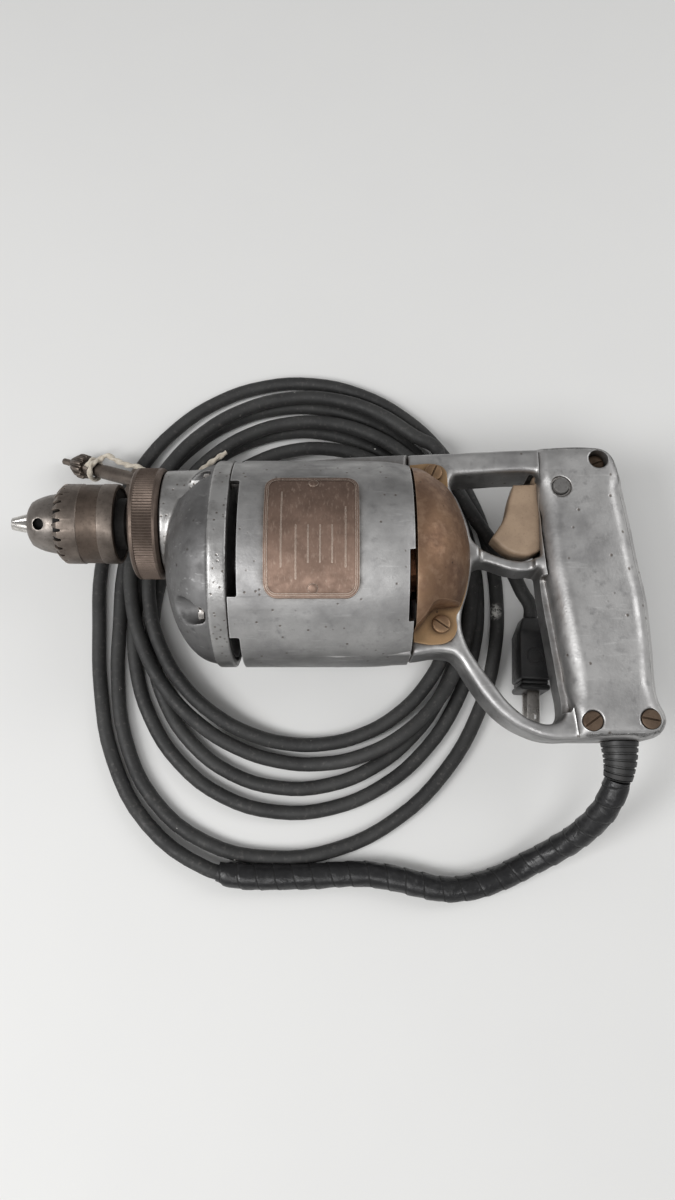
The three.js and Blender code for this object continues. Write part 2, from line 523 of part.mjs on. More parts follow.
// Gear housing
{
  const dome = Array.from({ length: gearCase.domeSteps + 1 }, (_, i) => {
    const angle = Math.PI / 2 * (1 - i / gearCase.domeSteps);
    return [gearCase.flangeFront - gearCase.domeDepth * Math.sin(angle), gearCase.domeRadius * Math.cos(angle)];
  });
  const rear = barrel.front - gap;
  const outer = join(
    turned([...dome, [gearCase.flangeFront, barrel.radius], [rear, barrel.radius], [rear, 0]], facets.barrel),
    rodX(gearCase.neckFront, gearCase.neckRear, gearCase.neck, facets.chuck, spindleHeight),
    rodX(gearCase.spigotFront, gearCase.neckFront + overrun, gearCase.spigot, facets.chuck, spindleHeight),
  );
  const inside = join(
    turned([[caseBore[caseBore.length - 1][0], 0], ...[...caseBore].reverse(), [gearCase.recessFront, gearCase.recess],
      [rear + overrun, gearCase.recess], [rear + overrun, 0]], facets.barrel),
    rodX(gearCase.neckBoreFront, gearCase.neckRear, gearCase.neckBore, facets.chuck, spindleHeight),
  );
  const bosses = corners.map(([y, z]) => rodX(housingScrew.innerEnd, gearCase.recessFront, housingScrew.innerBoss,
    facets.pin, y, z).intersect(outer));
  const scoops = corners.map(([y, z]) => rodX(housingScrew.scoopEnd, housingScrew.seat, housingScrew.scoop,
    facets.rod, y, z));
  const holes = corners.map(([y, z]) => rodX(housingScrew.seat - overrun, rear, housingScrew.hole, facets.pin, y, z));
  const bores = [
    rodX(gearCase.spigotFront - overrun, gearCase.seatRear, spindleBearing.radius + gap, facets.chuck, spindleHeight),
    rodX(gearCase.seatRear - overrun, gearCase.neckBoreFront + overrun, gearCase.throat, facets.ring, spindleHeight),
    rodX(gearCase.bushFront, caseBore[caseBore.length - 1][0] + overrun, sideShaft.journal + gap, facets.rod, sideY, sideZ),
  ];
  const shell = join(cut(outer, inside), bosses);
  piece(drill, 'gear_housing', 'darkCasting', cut(shell, scoops, holes, bores));
}

// Screws that hold the gear housing to the barrel, one under each scoop
pieces(drill, 'gear_housing_screw', 'steel', corners.map(([y, z]) => {
  const seat = housingScrew.seat - gap;
  const front = seat - housingScrew.headDepth;
  return cut(
    join(rodX(front, seat, housingScrew.head, facets.rod, y, z),
      rodX(seat - housingScrew.headDepth / 2, housingScrew.end, housingScrew.shank, facets.pin, y, z)),
    block(front - overrun, front + screwSlot.depth, y - screwSlot.width / 2, y + screwSlot.width / 2,
      z - housingScrew.head - overrun, z + housingScrew.head + overrun),
  );
}));

// Knurled collar round the spindle bearing
{
  const { front, rear, radius, chamfer } = collar;
  const inner = gearCase.spigot + gap;
  const inside = front + collar.frontWall;
  piece(drill, 'spindle_collar', 'bronze', turned([[front, gearCase.throat], [front, radius - chamfer],
    [front + chamfer, radius], [rear - chamfer, radius], [rear, radius - chamfer], [rear, inner], [inside, inner],
    [inside, gearCase.throat], [front, gearCase.throat]], facets.chuck, spindleHeight));
}

// Plate that carries the rear ends of the spindle and side shaft and the front of the armature
{
  const { front, rear } = gearPlate;
  const disc = join(rodX(front, rear, gearPlate.radius, facets.barrel),
    rodX(gearPlate.hubFront, gearPlate.hubRear, gearPlate.hub, facets.ring));
  const across = [gearPlate.hubFront - overrun, gearPlate.hubRear + overrun];
  const notches = corners.map(([y, z]) => {
    const out = 1 + gearPlate.notchShift / housingScrew.circle;
    return rodX(...across, gearPlate.notch, facets.pin, y * out, z * out);
  });
  piece(drill, 'gear_plate', 'casting', cut(disc, notches,
    rodX(...across, frontBearing.radius + gap, facets.ring),
    rodX(...across, spindleBush.radius + gap, facets.rod, spindleHeight),
    rodX(...across, sideShaft.journal + gap, facets.rod, sideY, sideZ)));
}

// Bearings and bushes
const bearing = ({ front, rear, radius }, bore, y = 0) => tubeX(front, rear, bore + gap, radius, facets.ring, y);
piece(drill, 'armature_front_bearing', 'steel', bearing(frontBearing, armature.journal));
piece(drill, 'armature_rear_bearing', 'steel', bearing(rearBearing, armature.journal));
piece(drill, 'spindle_front_bearing', 'steel', bearing(spindleBearing, spindle.radius, spindleHeight));
piece(drill, 'spindle_rear_bearing', 'brass', bearing(spindleBush, spindle.journal, spindleHeight));

// Gear train: the pinion cut on the armature's shaft drives the side shaft, whose pinion drives the spindle
const toSide = Math.atan2(sideZ, sideY);
{
  const toSpindle = Math.atan2(-sideZ, spindleHeight - sideY);
  const space = (teeth) => Math.PI / teeth;
  piece(drill, 'spindle_gear', 'steel', spurGear(slowPair.driven, slowPair, spindleHeight, 0,
    toSpindle + Math.PI + space(slowPair.driven), spindle.radius + gap));
  const { front, rear, journal, radius, bodyFront, bodyRear } = sideShaft;
  piece(drill, 'side_shaft', 'steel', turned([[front, 0], [front, journal], [bodyFront, journal], [bodyFront, radius],
    [bodyRear, radius], [bodyRear, journal], [rear, journal], [rear, 0]], facets.rod, sideY, sideZ),
  spurGear(fastPair.driven, fastPair, sideY, sideZ, toSide + Math.PI + space(fastPair.driven)),
  spurGear(slowPair.drive, slowPair, sideY, sideZ, toSpindle));
}

// Armature
{
  const { front, tip, tipEnd, journal, shoulder, radius, rearShoulder, rear } = armature;
  piece(drill, 'armature_shaft', 'steel', turned([[front, 0], [front, tip], [tipEnd, tip], [tipEnd, journal],
    [shoulder, journal], [shoulder, radius], [rearShoulder, radius], [rearShoulder, journal], [rear, journal],
    [rear, 0]], facets.rod), spurGear(fastPair.drive, fastPair, 0, 0, toSide));
  const bars = (inner, outer, width, x0, x1) => Array.from({ length: core.slots }, (_, i) => {
    const angle = 2 * Math.PI * i / core.slots;
    const bar = block(x0, x1, -width / 2, width / 2, inner, outer);
    return bar.rotate([angle / degree, 0, 0]);
  });
  const stack = tubeX(core.front, core.rear, radius + gap, core.radius, facets.barrel);
  piece(drill, 'armature_core', 'laminate', cut(stack, bars(core.slotFloor, core.radius + overrun, core.slotWidth,
    core.front - overrun, core.rear + overrun)));
  const ends = [core.front - winding.overhang, core.rear + winding.overhang];
  piece(drill, 'armature_winding', 'copper', join(
    tubeX(ends[0], core.front - gap, winding.inner, winding.radius, core.slots),
    tubeX(core.rear + gap, ends[1], winding.inner, winding.radius, core.slots),
    tubeX(core.rear + overrun, winding.neckRear, winding.inner, winding.neck, core.slots),
    bars(core.slotFloor + gap, winding.radius - gap, core.slotWidth - 2 * gap, ends[0] + gap, ends[1] - gap),
  ));
  piece(drill, 'commutator', 'copper', tubeX(commutator.front, commutator.rear, radius + gap, commutator.radius,
    facets.chuck));
  const blades = Array.from({ length: fan.blades }, (_, i) => {
    const blade = block(fan.front, fan.rear, -fan.blade / 2, fan.blade / 2, fan.bladeRoot, fan.radius - gap);
    return blade.rotate([360 * i / fan.blades, 0, 0]);
  });
  piece(drill, 'cooling_fan', 'casting', cut(join(
    rodX(fan.rear - fan.disc, fan.rear, fan.radius, facets.chuck),
    rodX(fan.front, fan.rear, fan.hub, facets.rod),
    blades,
  ), rodX(fan.front - overrun, fan.rear + overrun, radius + gap, facets.rod)));
}

// Field: laminated ring with two poles, and a coil round each pole, the two coils wired together at the front
{
  const pole = sector(core.front, core.rear, field.pole, field.inner + overrun, -field.half, field.half, field.steps);
  piece(drill, 'field_core', 'laminate', tubeX(core.front, core.rear, field.inner, field.outer, facets.barrel),
    bothSides(pole));
  const { inner, outer, turnInner, from, to, overhang, steps, turnSteps } = fieldCoil;
  const ends = [[core.front - overhang, core.front - gap], [core.rear + gap, core.rear + overhang]];
  const sides = [[from, to], [-to, -from]].map(([a, b]) => sector(ends[0][0], ends[1][1], inner, outer, a, b, steps));
  const turns = ends.map(([x0, x1]) => sector(x0, x1, turnInner, outer, -to, to, turnSteps));
  const bridge = sector(ends[0][0], ends[0][1], inner, outer, (from + to) / 2, Math.PI - (from + to) / 2, steps);
  piece(drill, 'field_coils', 'copper', bothSides(join(sides, turns)), bridge);
}

// Brush gear on both sides of the commutator
{
  const { front, rear, low, top, footLow, footTop, footRear, foot, tubeLow, tubeTop, halfX, halfY } = holder;
  const middle = (front + rear) / 2;
  const bore = block(middle - holder.boreX, middle + holder.boreX, -holder.boreY, holder.boreY, foot, holder.boreTop);
  const body = cut(join(
    block(front, rear, low, top, holder.plate, holder.plateTop),
    block(front, footRear, low, footLow, foot, holder.plateTop),
    block(front, footRear, footTop, top, foot, holder.plateTop),
    block(middle - halfX, middle + halfX, -halfY, halfY, tubeLow, tubeTop),
  ), bore);
  pieces(drill, ['brush_holder_left', 'brush_holder_right'], 'brass', bothSides(body));
  const carbon = block(middle - brush.halfX, middle + brush.halfX, -brush.halfY, brush.halfY, brush.low, brush.top);
  pieces(drill, ['carbon_brush_left', 'carbon_brush_right'], 'carbon', bothSides(carbon));
  const spring = sweep(springPoints(brushSpring, middle, 0), brushSpring.wire, curl.sides);
  pieces(drill, ['brush_spring_left', 'brush_spring_right'], 'steel', bothSides(spring));
}

// Grip shapes shared by the frame and the grip's cover
const gripWhole = slabZ(gripOutline, -handle.gripHalf, handle.gripHalf, handle.gripBevel, 2);
const gripInside = slabZ(inset(gripOutline, handle.wall), handle.wall - handle.gripHalf,
  handle.gripHalf - handle.wall);
const reach = handle.gripHalf + overrun;
const slotTools = [
  block(alongHandle(triggerSlot.frontShare), alongHandle(triggerSlot.rearShare), upHandle(triggerSlot.lowShare),
    upHandle(triggerSlot.topShare), -triggerSlot.half, triggerSlot.half),
  rodZ(-triggerSlot.half, triggerSlot.half, triggerSlot.sweep, facets.ring, pivotX, pivotY),
];
const [flangeTop, reliefOuter, reliefEnd] = [relief.inside, -relief.outside, -relief.length].map((y) => exitY + y);
const exitHole = rodBetween([exitX, exitY - overrun, 0], [exitX, flangeTop - overrun, 0], relief.hole, facets.ring);
const flangePocket = rodBetween([exitX, exitY + handle.wall - gap, 0], [exitX, flangeTop + gap, 0],
  relief.flange + gap, facets.ring);
const pinBoss = (from, to) => rodZ(from, to, pin.boss, facets.rod, pivotX, pivotY);
const pinHole = rodZ(-pin.half - gap, pin.half + gap, pin.hole, facets.pin, pivotX, pivotY);

// Handle frame: arms and strut in one casting with the lower half of the grip
{
  const windows = [fingerWindowShares, handWindowShares].map((shares) => slabZ(shares.map(placed), -reach, reach));
  const ring = Array.from({ length: 2 * chamber.steps }, (_, i) => {
    const angle = Math.PI * i / chamber.steps;
    return [handle.start + chamber.half * Math.cos(angle), chamber.high * Math.sin(angle)];
  });
  const strutBand = upHandle(handle.strutBandShare);
  const arms = cut(slabZ(frameOutline, -handle.half, handle.half, handle.bevel, 1), windows,
    slabZ(ring, -reach, reach),
    rodX(handle.start + chamber.half - overrun, rearBearing.rear + gap, rearBearing.radius + gap, facets.ring),
    bothSides(block(alongHandle(handle.strutFrontShare), alongHandle(handle.strutRearShare), -strutBand, strutBand,
      handle.strutHalf, reach)));
  const cover = slabZ(inset(gripOutline, -gap), 0, reach);
  const bosses = gripScrews.map(([x, y]) => rodZ(-handle.gripHalf + handle.wall / 2, 0, gripScrew.boss, facets.rod, x, y));
  const lower = join(cut(join(arms, gripWhole), cover, gripInside), bosses,
    pinBoss(-handle.gripHalf + handle.wall / 2, -pin.bossFace));
  const screwHoles = [
    ...gripScrews.map(([x, y]) => rodZ(gripScrew.end - overrun, reach, gripScrew.hole, facets.pin, x, y)),
    ...coverScrews.flatMap(([x, y]) => bothSides(rodZ(handle.half - coverScrew.depth - gap, reach, coverScrew.hole,
      facets.pin, x, y))),
  ];
  piece(drill, 'handle_frame', 'casting', cut(lower, slotTools, exitHole, flangePocket, screwHoles, pinHole));
}

// Upper half of the grip
{
  const below = slabZ(inset(gripOutline, -overrun), -reach, gap);
  const bosses = gripScrews.map(([x, y]) => rodZ(gap, handle.gripHalf - handle.wall / 2, gripScrew.boss, facets.rod, x, y));
  const cup = rodZ(button.cupLow, handle.gripHalf - handle.wall / 2, button.cup, facets.rod, buttonX, buttonY);
  const shell = join(cut(gripWhole, gripInside, below), bosses, cup,
    pinBoss(pin.bossFace, handle.gripHalf - handle.wall / 2));
  const sinks = gripScrews.map(([x, y], i) => rodZ((i ? handle.gripHalf : gripScrew.sunk) - gripScrew.headHeight - gap,
    reach, gripScrew.counterbore, facets.rod, x, y));
  const holes = gripScrews.map(([x, y]) => rodZ(-overrun, reach, gripScrew.hole, facets.pin, x, y));
  piece(drill, 'grip_cover', 'casting', cut(shell, slotTools, exitHole, flangePocket, sinks, holes, pinHole,
    rodZ(button.seat, reach, button.bore, facets.rod, buttonX, buttonY),
    rodZ(button.cupLow - overrun, reach, button.stemBore, facets.pin, buttonX, buttonY)));
}

pieces(drill, 'grip_screw', 'rust', gripScrews.map(([x, y], i) => screwZ(x, y, i ? handle.gripHalf : gripScrew.sunk,
  gripScrew.headHeight, gripScrew.head, gripScrew.shank, gripScrew.end)));

// Commutator covers
{
  const bulge = (shrink) => {
    const profile = Array.from({ length: cover.steps + 1 }, (_, i) => {
      const angle = Math.PI / 2 * i / cover.steps;
      return [cover.bulgeCentre + (cover.bulgeLength - shrink) * Math.sin(angle), (cover.bulge - shrink) * Math.cos(angle)];
    });
    const start = cover.bulgeCentre - overrun;
    return turned([[start, 0], [start, cover.bulge - shrink], ...profile], facets.dome);
  };
  const domeOutline = domeOutlineShares.map(placed);
  const ys = domeOutline.map(([, y]) => y);
  const mouth = [domeOutline[0][0] - overrun, domeOutline[0][0] + 2 * cover.wall, Math.min(...ys.slice(-1)) + cover.wall,
    Math.max(...ys) - cover.wall];
  const floor = cover.low - overrun;
  const flange = slabZ(coverOutlineShares.map(placed), cover.low, cover.low + cover.thickness);
  const dome = slabZ(domeOutline, cover.low, barrel.radius).intersect(bulge(0));
  const inside = join(slabZ(inset(domeOutline, cover.wall), floor, barrel.radius), block(...mouth, floor, barrel.radius))
    .intersect(bulge(cover.wall));
  const holes = coverScrews.map(([x, y]) => rodZ(floor, barrel.radius, coverScrew.hole, facets.pin, x, y));
  const left = cut(join(flange, dome), inside, holes);
  piece(drill, 'commutator_cover_left', 'bronze', left);
  piece(drill, 'commutator_cover_right', 'bronze', mirrored(left));
  const top = cover.low + cover.thickness + gap + coverScrew.headHeight;
  const screws = coverScrews.map(([x, y]) => screwZ(x, y, top, coverScrew.headHeight, coverScrew.head, coverScrew.shank,
    handle.half - coverScrew.depth));
  pieces(drill, 'cover_screw', 'brass', screws.flatMap(bothSides));
}

// Trigger on its cross pin, with its torsion spring in a recess
{
  const { half, bevel, hole, recess, recessFloor } = trigger;
  piece(drill, 'trigger', 'tan', cut(slabZ(triggerOutlineShares.map(placed), -half, half, bevel, 1),
    rodZ(-half - overrun, half + overrun, hole, facets.pin, pivotX, pivotY),
    rodZ(recessFloor, half + overrun, recess, facets.rod, pivotX, pivotY)));
  piece(drill, 'trigger_pin', 'steel', rodZ(-pin.half, pin.half, pin.radius, facets.pin, pivotX, pivotY));
  piece(drill, 'trigger_spring', 'steel', sweep(springPoints(triggerSpring, pivotX, pivotY), triggerSpring.wire,
    curl.sides));
}

// Switch with its plunger, and the lock button above it
const switchLow = upHandle(switchBody.lowShare);
{
  const { half } = switchBody;
  const height = upHandle(plunger.heightShare);
  piece(drill, 'switch_body', 'black', cut(
    block(alongHandle(switchBody.frontShare), alongHandle(switchBody.rearShare), switchLow,
      upHandle(switchBody.topShare), -half, half),
    rodX(alongHandle(switchBody.frontShare) - overrun, alongHandle(plunger.boreEndShare), plunger.radius + gap,
      facets.rod, height),
  ));
  piece(drill, 'switch_plunger', 'grey', rodX(alongHandle(plunger.frontShare), alongHandle(plunger.rearShare),
    plunger.radius, facets.pin, height));
  piece(drill, 'lock_button', 'grey', rodZ(button.low, button.top, button.radius, facets.rod, buttonX, buttonY),
    rodZ(button.stemLow, button.top - overrun, button.stem, facets.pin, buttonX, buttonY));
  piece(drill, 'lock_spring', 'steel', sweep(springPoints(buttonSpring, buttonX, buttonY), buttonSpring.wire, curl.sides));
}

// The lead inside the grip, and the strain relief at the exit
{
  const route = [
    [alongHandle(plunger.boreEndShare), switchLow - gap, 0], ...innerLeadShares.map((point) => [...placed(point), 0]),
    [exitX, reliefEnd, 0],
  ];
  piece(drill, 'cord_inside_grip', 'rubber', tube(route, cord.radius, cord.sides, innerLeadSteps));
  const at = (y) => [exitX, y, 0];
  const bushing = join(
    rodBetween(at(reliefEnd), at(reliefOuter), relief.tip, facets.ring, relief.root),
    rodBetween(at(reliefOuter - overrun), at(flangeTop - gap), relief.throat, facets.ring),
    rodBetween(at(exitY + handle.wall + gap), at(flangeTop), relief.flange, facets.ring),
  );
  const bore = rodBetween(at(reliefEnd - overrun), at(flangeTop + overrun), relief.bore, facets.rod);
  piece(drill, 'cord_bushing', 'black', cut(bushing, bore));
}

// Chuck
const slope = Math.tan(jaw.lean);
const jawReach = (x) => jaw.tipReach + slope * (x - jaw.tip);
const jawRear = jaw.tip + jaw.length;
const leaning = (angle, radius, from, to, sides) => {
  const centre = (x) => jawReach(x) - jaw.radius / Math.cos(jaw.lean);
  const run = 2 * jaw.radius;
  const at = (x) => [x, spindleHeight + centre(x) * Math.sin(angle), centre(x) * Math.cos(angle)];
  const wide = block(from, to, spindleHeight - barrel.radius, spindleHeight + barrel.radius, -barrel.radius, barrel.radius);
  return rodBetween(at(from - run), at(to + run), radius, sides).intersect(wide);
};
{
  jawAngles.forEach((angle, i) => {
    const far = 2 * sleeve.radius;
    const apex = jaw.half / Math.sin(Math.PI / 3);
    const at = (radius, turn) => [spindleHeight + apex * Math.sin(angle) + radius * Math.sin(angle + turn),
      apex * Math.cos(angle) + radius * Math.cos(angle + turn)];
    const wedge = slabX([at(0, 0), at(far, -Math.PI / 3), at(far, 0), at(far, Math.PI / 3)], jaw.tip - overrun,
      jawRear + overrun);
    piece(drill, `jaw_${i + 1}`, 'steel', leaning(angle, jaw.radius, jaw.tip, jawRear, facets.rod).intersect(wedge));
  });

  const groove = [nut.front - gap, nut.rear + gap];
  const body = turned([[nose[0][0], 0], ...nose, [sleeve.front, chuck.front], [groove[0], chuck.front],
    [groove[0], jawReach(groove[0])], [groove[1], jawReach(groove[1])], [groove[1], chuck.body],
    [chuck.rear, chuck.body], [chuck.rear, chuck.hub], [chuck.hubRear, chuck.hub], [chuck.hubRear, 0]],
  facets.chuck, spindleHeight);
  const keyHoles = [0, 120, 240].map((angle) => radialRod(angle * degree, chuck.keyHoleX, chuck.keyHoleFloor,
    sleeve.radius, chuck.keyHole, facets.pin, spindleHeight));
  const spindleBore = turned([[spindle.front - gap, 0], [spindle.front - gap, spindle.nose + gap],
    [spindle.taperRear, spindle.radius + gap], [chuck.hubRear + overrun, spindle.radius + gap],
    [chuck.hubRear + overrun, 0]], facets.ring, spindleHeight);
  piece(drill, 'chuck_body', 'darkSteel', cut(body, keyHoles, spindleBore,
    rodX(nose[0][0] - overrun, chuck.boreEnd, chuck.bore, facets.rod, spindleHeight),
    jawAngles.map((angle) => leaning(angle, jaw.radius + jaw.clearance, nose[0][0] - overrun, chuck.jawBoreEnd,
      facets.rod))));
  // Toothed sleeve with the nut that drives the jaws pressed into it
  const { front, lipRear, rear, edge, bevelRear, radius, lip, inner, bandFront, bandRear, band, rearChamfer } = sleeve;
  const ring = turned([[front, lip], [front, edge], [bevelRear, radius], [bandFront, radius], [bandFront, radius - band],
    [bandRear, radius - band], [bandRear, radius], [rear - rearChamfer, radius], [rear, radius - rearChamfer],
    [rear, inner], [lipRear, inner], [lipRear, lip], [front, lip]], facets.chuck, spindleHeight);
  const spaces = Array.from({ length: sleeve.teeth }, (_, i) => {
    const space = block(front - overrun, front + sleeve.toothDepth, -sleeve.tooth / 2, sleeve.tooth / 2, lip - overrun,
      radius + overrun);
    return space.rotate([360 * i / sleeve.teeth, 0, 0]).translate([0, spindleHeight, 0]);
  });
  const nutInSleeve = turned([[nut.front, jawReach(nut.front) + gap], [nut.front, radius - band],
    [nut.rear, radius - band], [nut.rear, jawReach(nut.rear) + gap], [nut.front, jawReach(nut.front) + gap]],
  facets.chuck, spindleHeight);
  piece(drill, 'chuck_sleeve', 'darkSteel', join(cut(ring, spaces), nutInSleeve));
}

// Spindle
{
  const { front, taperRear, nose: tip, radius, shoulder, journal, rear } = spindle;
  piece(drill, 'spindle', 'steel', turned([[front, 0], [front, tip], [taperRear, radius], [shoulder, radius],
    [shoulder, journal], [rear, journal], [rear, 0]], facets.ring, spindleHeight));
}

// Chuck key: pinion head, shank and cross bar
const keyFrame = new THREE.Matrix4().makeRotationFromEuler(new THREE.Euler(0, -key.pitch, key.yaw, 'ZYX'))
  .setPosition(...key.tip);
const onKey = (x, y, z) => new THREE.Vector3(x, y, z).applyMatrix4(keyFrame).toArray();
{
  const outline = Array.from({ length: 4 * key.teeth }, (_, i) => {
    const radius = i % 4 < 2 ? key.radius : key.root;
    const angle = 2 * Math.PI * (i + (i % 2 ? -0.1 : 0.1)) / (4 * key.teeth);
    return [radius * Math.cos(angle), radius * Math.sin(angle)];
  });
  const shape = join(
    rodX(0, key.head + overrun, key.pilot, facets.pin),
    slabX(outline, key.head, key.headEnd),
    rodX(key.headEnd - overrun, key.end, key.shank, facets.pin),
  );
  const bar = (radius, from, to, sides) => {
    const at = (distance) => [key.hub, -distance * Math.cos(keyBar.roll), -distance * Math.sin(keyBar.roll)];
    return rodBetween(at(from), at(to), radius, sides);
  };
  const place = (solid) => solid.transform(keyFrame.elements);
  piece(root, 'chuck_key', 'darkSteel', place(join(shape, bar(keyBar.radius, keyBar.from, keyBar.to, facets.pin))));
}

// Twine from the key's neck to the coil
{
  const count = Math.round(string.turnSteps * string.turnShare);
  const wrap = Array.from({ length: count + 1 }, (_, i) => {
    const angle = 2 * Math.PI * (i / string.turnSteps - string.turnShare + 1 / 4);
    return onKey(string.neck + string.rise * i / count, string.wrap * Math.cos(angle), string.wrap * Math.sin(angle));
  });
  piece(root, 'key_string', 'twine', tube([...wrap, ...stringPath], string.radius, string.sides, string.steps));
}

// Coil of cord
const blend = (a, b, share) => a + (b - a) * share;
const smooth = (share) => {
  const t = Math.min(1, Math.max(0, share));
  return t * t * (3 - 2 * t);
};
const turnBack = coil.turned / (2 - coil.endShare);
const coilAt = (turned) => {
  const inward = turned < turnBack ? turned / turnBack : 2 - turned / turnBack;
  const loop = Object.fromEntries(['a', 'b', 'x', 'y'].map((k) => [k, blend(coil.outer[k], coil.inner[k], inward)]));
  const angle = coil.startAngle - turned;
  const swing = turned < coil.sweepAngle ? Math.cos(Math.PI / 2 * turned / coil.sweepAngle) ** 2 : 0;
  const out = coil.sweepOut * swing;
  const entry = blend(coil.entry, coil.floor, smooth(turned / coil.entryAngle));
  const lift = smooth((turned - turnBack) / Math.PI + 1 / 2);
  return [loop.x + (loop.a + out) * Math.cos(angle), loop.y + (loop.b + out) * Math.sin(angle),
    Math.max(entry, blend(coil.floor, coil.upper, lift))];
};
const beyond = (point, next, distance) => {
  const [a, b] = [new THREE.Vector3(...point), new THREE.Vector3(...next)];
  return a.clone().addScaledVector(a.clone().sub(b).normalize(), distance).toArray();
};
const coilSteps = Math.round(coil.turned / (2 * Math.PI) * coil.stepsPerLoop);
const coilPoints = Array.from({ length: coilSteps + 1 }, (_, i) => coilAt(coil.turned * i / coilSteps));
coilPoints.unshift(beyond(coilPoints[0], coilPoints[1], 2 * cord.radius));
coilPoints.push(beyond(coilPoints[coilPoints.length - 1], coilPoints[coilPoints.length - 2], 2 * cord.radius));
piece(root, 'cord_coil', 'rubber', sweep(coilPoints, cord.radius, coil.sides));

// Least gap between loops, between points more than a quarter loop apart
{
  const apart = coil.stepsPerLoop / 4;
  const fine = [];
  coilPoints.slice(1).forEach((p, i) => {
    for (let k = 0; k < 4; k += 1) fine.push([i + k / 4, p.map((_, c) => blend(coilPoints[i][c], p[c], k / 4))]);
  });
  let least = Infinity;
  fine.forEach(([i, p]) => fine.forEach(([j, q]) => {
    if (j - i > apart) least = Math.min(least, Math.hypot(p[0] - q[0], p[1] - q[1], p[2] - q[2]));
  }));
  console.log('least gap between the coil\'s loops', (least - 2 * cord.radius).toFixed(2), 'mm');
}

// Taped lead from the strain relief to the coil
const leadEnd = beyond(coilPoints[0], coilPoints[1], gap);
{
  const top = drill.position.z;
  const straight = 2 * lead.radius;
  const start = [exitX, reliefEnd - gap, top];
  const next = [exitX, start[1] - lead.radius, top];
  piece(root, 'taped_lead', 'tape', tube([start, next, ...leadPath, beyond(coilPoints[0], coilPoints[1], straight),
    leadEnd], lead.radius, lead.sides, lead.steps));
}

// Tail from the coil to the plug
const plugAt = (x, y, z) => {
  const local = new THREE.Vector3(x, y, z).applyAxisAngle(new THREE.Vector3(0, 0, 1), plug.turn);
  return [plug.x + local.x, plug.y + local.y, plug.z + local.z];
};
{
  const last = coilPoints.length - 1;
  const start = beyond(coilPoints[last], coilPoints[last - 1], gap);
  const next = beyond(coilPoints[last], coilPoints[last - 1], 2 * cord.radius);
  piece(root, 'cord_tail', 'rubber', tube([start, next, ...tailPath, plugAt(0, 2 * cord.radius, 0), plugAt(0, gap, 0)],
    cord.radius, cord.sides, 24));
}

// Plug
{
  const { length, halfX, halfZ, neckHalfX, neckHalfZ, neckLength, bevel } = plug;
  const side = [[-neckHalfX, 0], [neckHalfX, 0], [halfX, -neckLength], [halfX, bevel - length], [halfX - bevel, -length],
    [bevel - halfX, -length], [-halfX, bevel - length], [-halfX, -neckLength]];
  const face = [[0, -neckHalfZ], [0, neckHalfZ], [-neckLength, halfZ], [bevel - length, halfZ], [-length, halfZ - bevel],
    [-length, bevel - halfZ], [bevel - length, -halfZ], [-neckLength, -halfZ]];
  const body = slabZ(side, -halfZ, halfZ).intersect(slabX(face, -halfX, halfX));
  const blades = [-1, 1].map((level) => block(-blade.width / 2, blade.width / 2, -length - blade.length, blade.root - length,
    level * blade.spread - blade.thickness / 2, level * blade.spread + blade.thickness / 2));
  const place = (solid) => solid.rotate([0, 0, plug.turn / degree]).translate([plug.x, plug.y, plug.z]);
  piece(root, 'plug', 'black', place(join(body, blades)));
}

export default root;
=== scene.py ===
from math import atan2, copysign, cos, degrees, hypot, pi, radians, sin, tan

import bpy
from mathutils import Matrix, Vector, noise


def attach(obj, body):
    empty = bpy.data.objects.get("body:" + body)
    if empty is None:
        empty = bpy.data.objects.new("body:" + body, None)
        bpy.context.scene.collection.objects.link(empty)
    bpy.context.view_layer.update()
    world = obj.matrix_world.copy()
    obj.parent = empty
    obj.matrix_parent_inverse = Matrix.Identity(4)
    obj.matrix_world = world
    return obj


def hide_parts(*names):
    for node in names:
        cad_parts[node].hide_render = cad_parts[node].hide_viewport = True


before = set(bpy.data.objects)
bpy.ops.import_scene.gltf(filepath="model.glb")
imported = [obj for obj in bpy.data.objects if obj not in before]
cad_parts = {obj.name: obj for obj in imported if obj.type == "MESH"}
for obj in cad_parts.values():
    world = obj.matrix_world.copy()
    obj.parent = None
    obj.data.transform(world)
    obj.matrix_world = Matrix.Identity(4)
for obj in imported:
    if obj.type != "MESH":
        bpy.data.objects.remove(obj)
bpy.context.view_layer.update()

# Sizes are in millimetres. Pieces of the drill are built round the barrel's axis and then lifted to it.
MM = 0.001
LIFT = 52 * cos(pi / 28)  # the barrel's axis above the floor; the solid rests on one of its 28 flats
SPINDLE = 21.5            # the chuck's axis, to the side of the barrel's
BARREL = 51.65            # a round barrel that stays above the floor
WELD = 1e-6               # metres between points that become one
SHARP_CORNER = radians(60)
HANDLE_START, HANDLE_REACH, HANDLE_HEIGHT = 35.3, 119.2, 88.5


# --- modelling steps ---

def alone(piece=None):
    if bpy.context.object and bpy.context.object.mode == "EDIT":
        bpy.ops.object.mode_set(mode="OBJECT")
    bpy.ops.object.select_all(action="DESELECT")
    if piece:
        piece.select_set(True)
        bpy.context.view_layer.objects.active = piece


def new_object(name, data):
    thing = bpy.data.objects.new(name, data)
    bpy.context.scene.collection.objects.link(thing)
    return thing


def new_piece(name):
    piece = bpy.context.object
    piece.name = piece.data.name = name
    bpy.ops.object.transform_apply(location=True, rotation=True, scale=True)
    return piece


def as_mesh(piece, name):
    alone(piece)
    bpy.ops.object.convert(target="MESH")
    return new_piece(name)


def editing(piece):
    alone(piece)
    bpy.ops.object.mode_set(mode="EDIT")
    bpy.ops.mesh.select_all(action="SELECT")


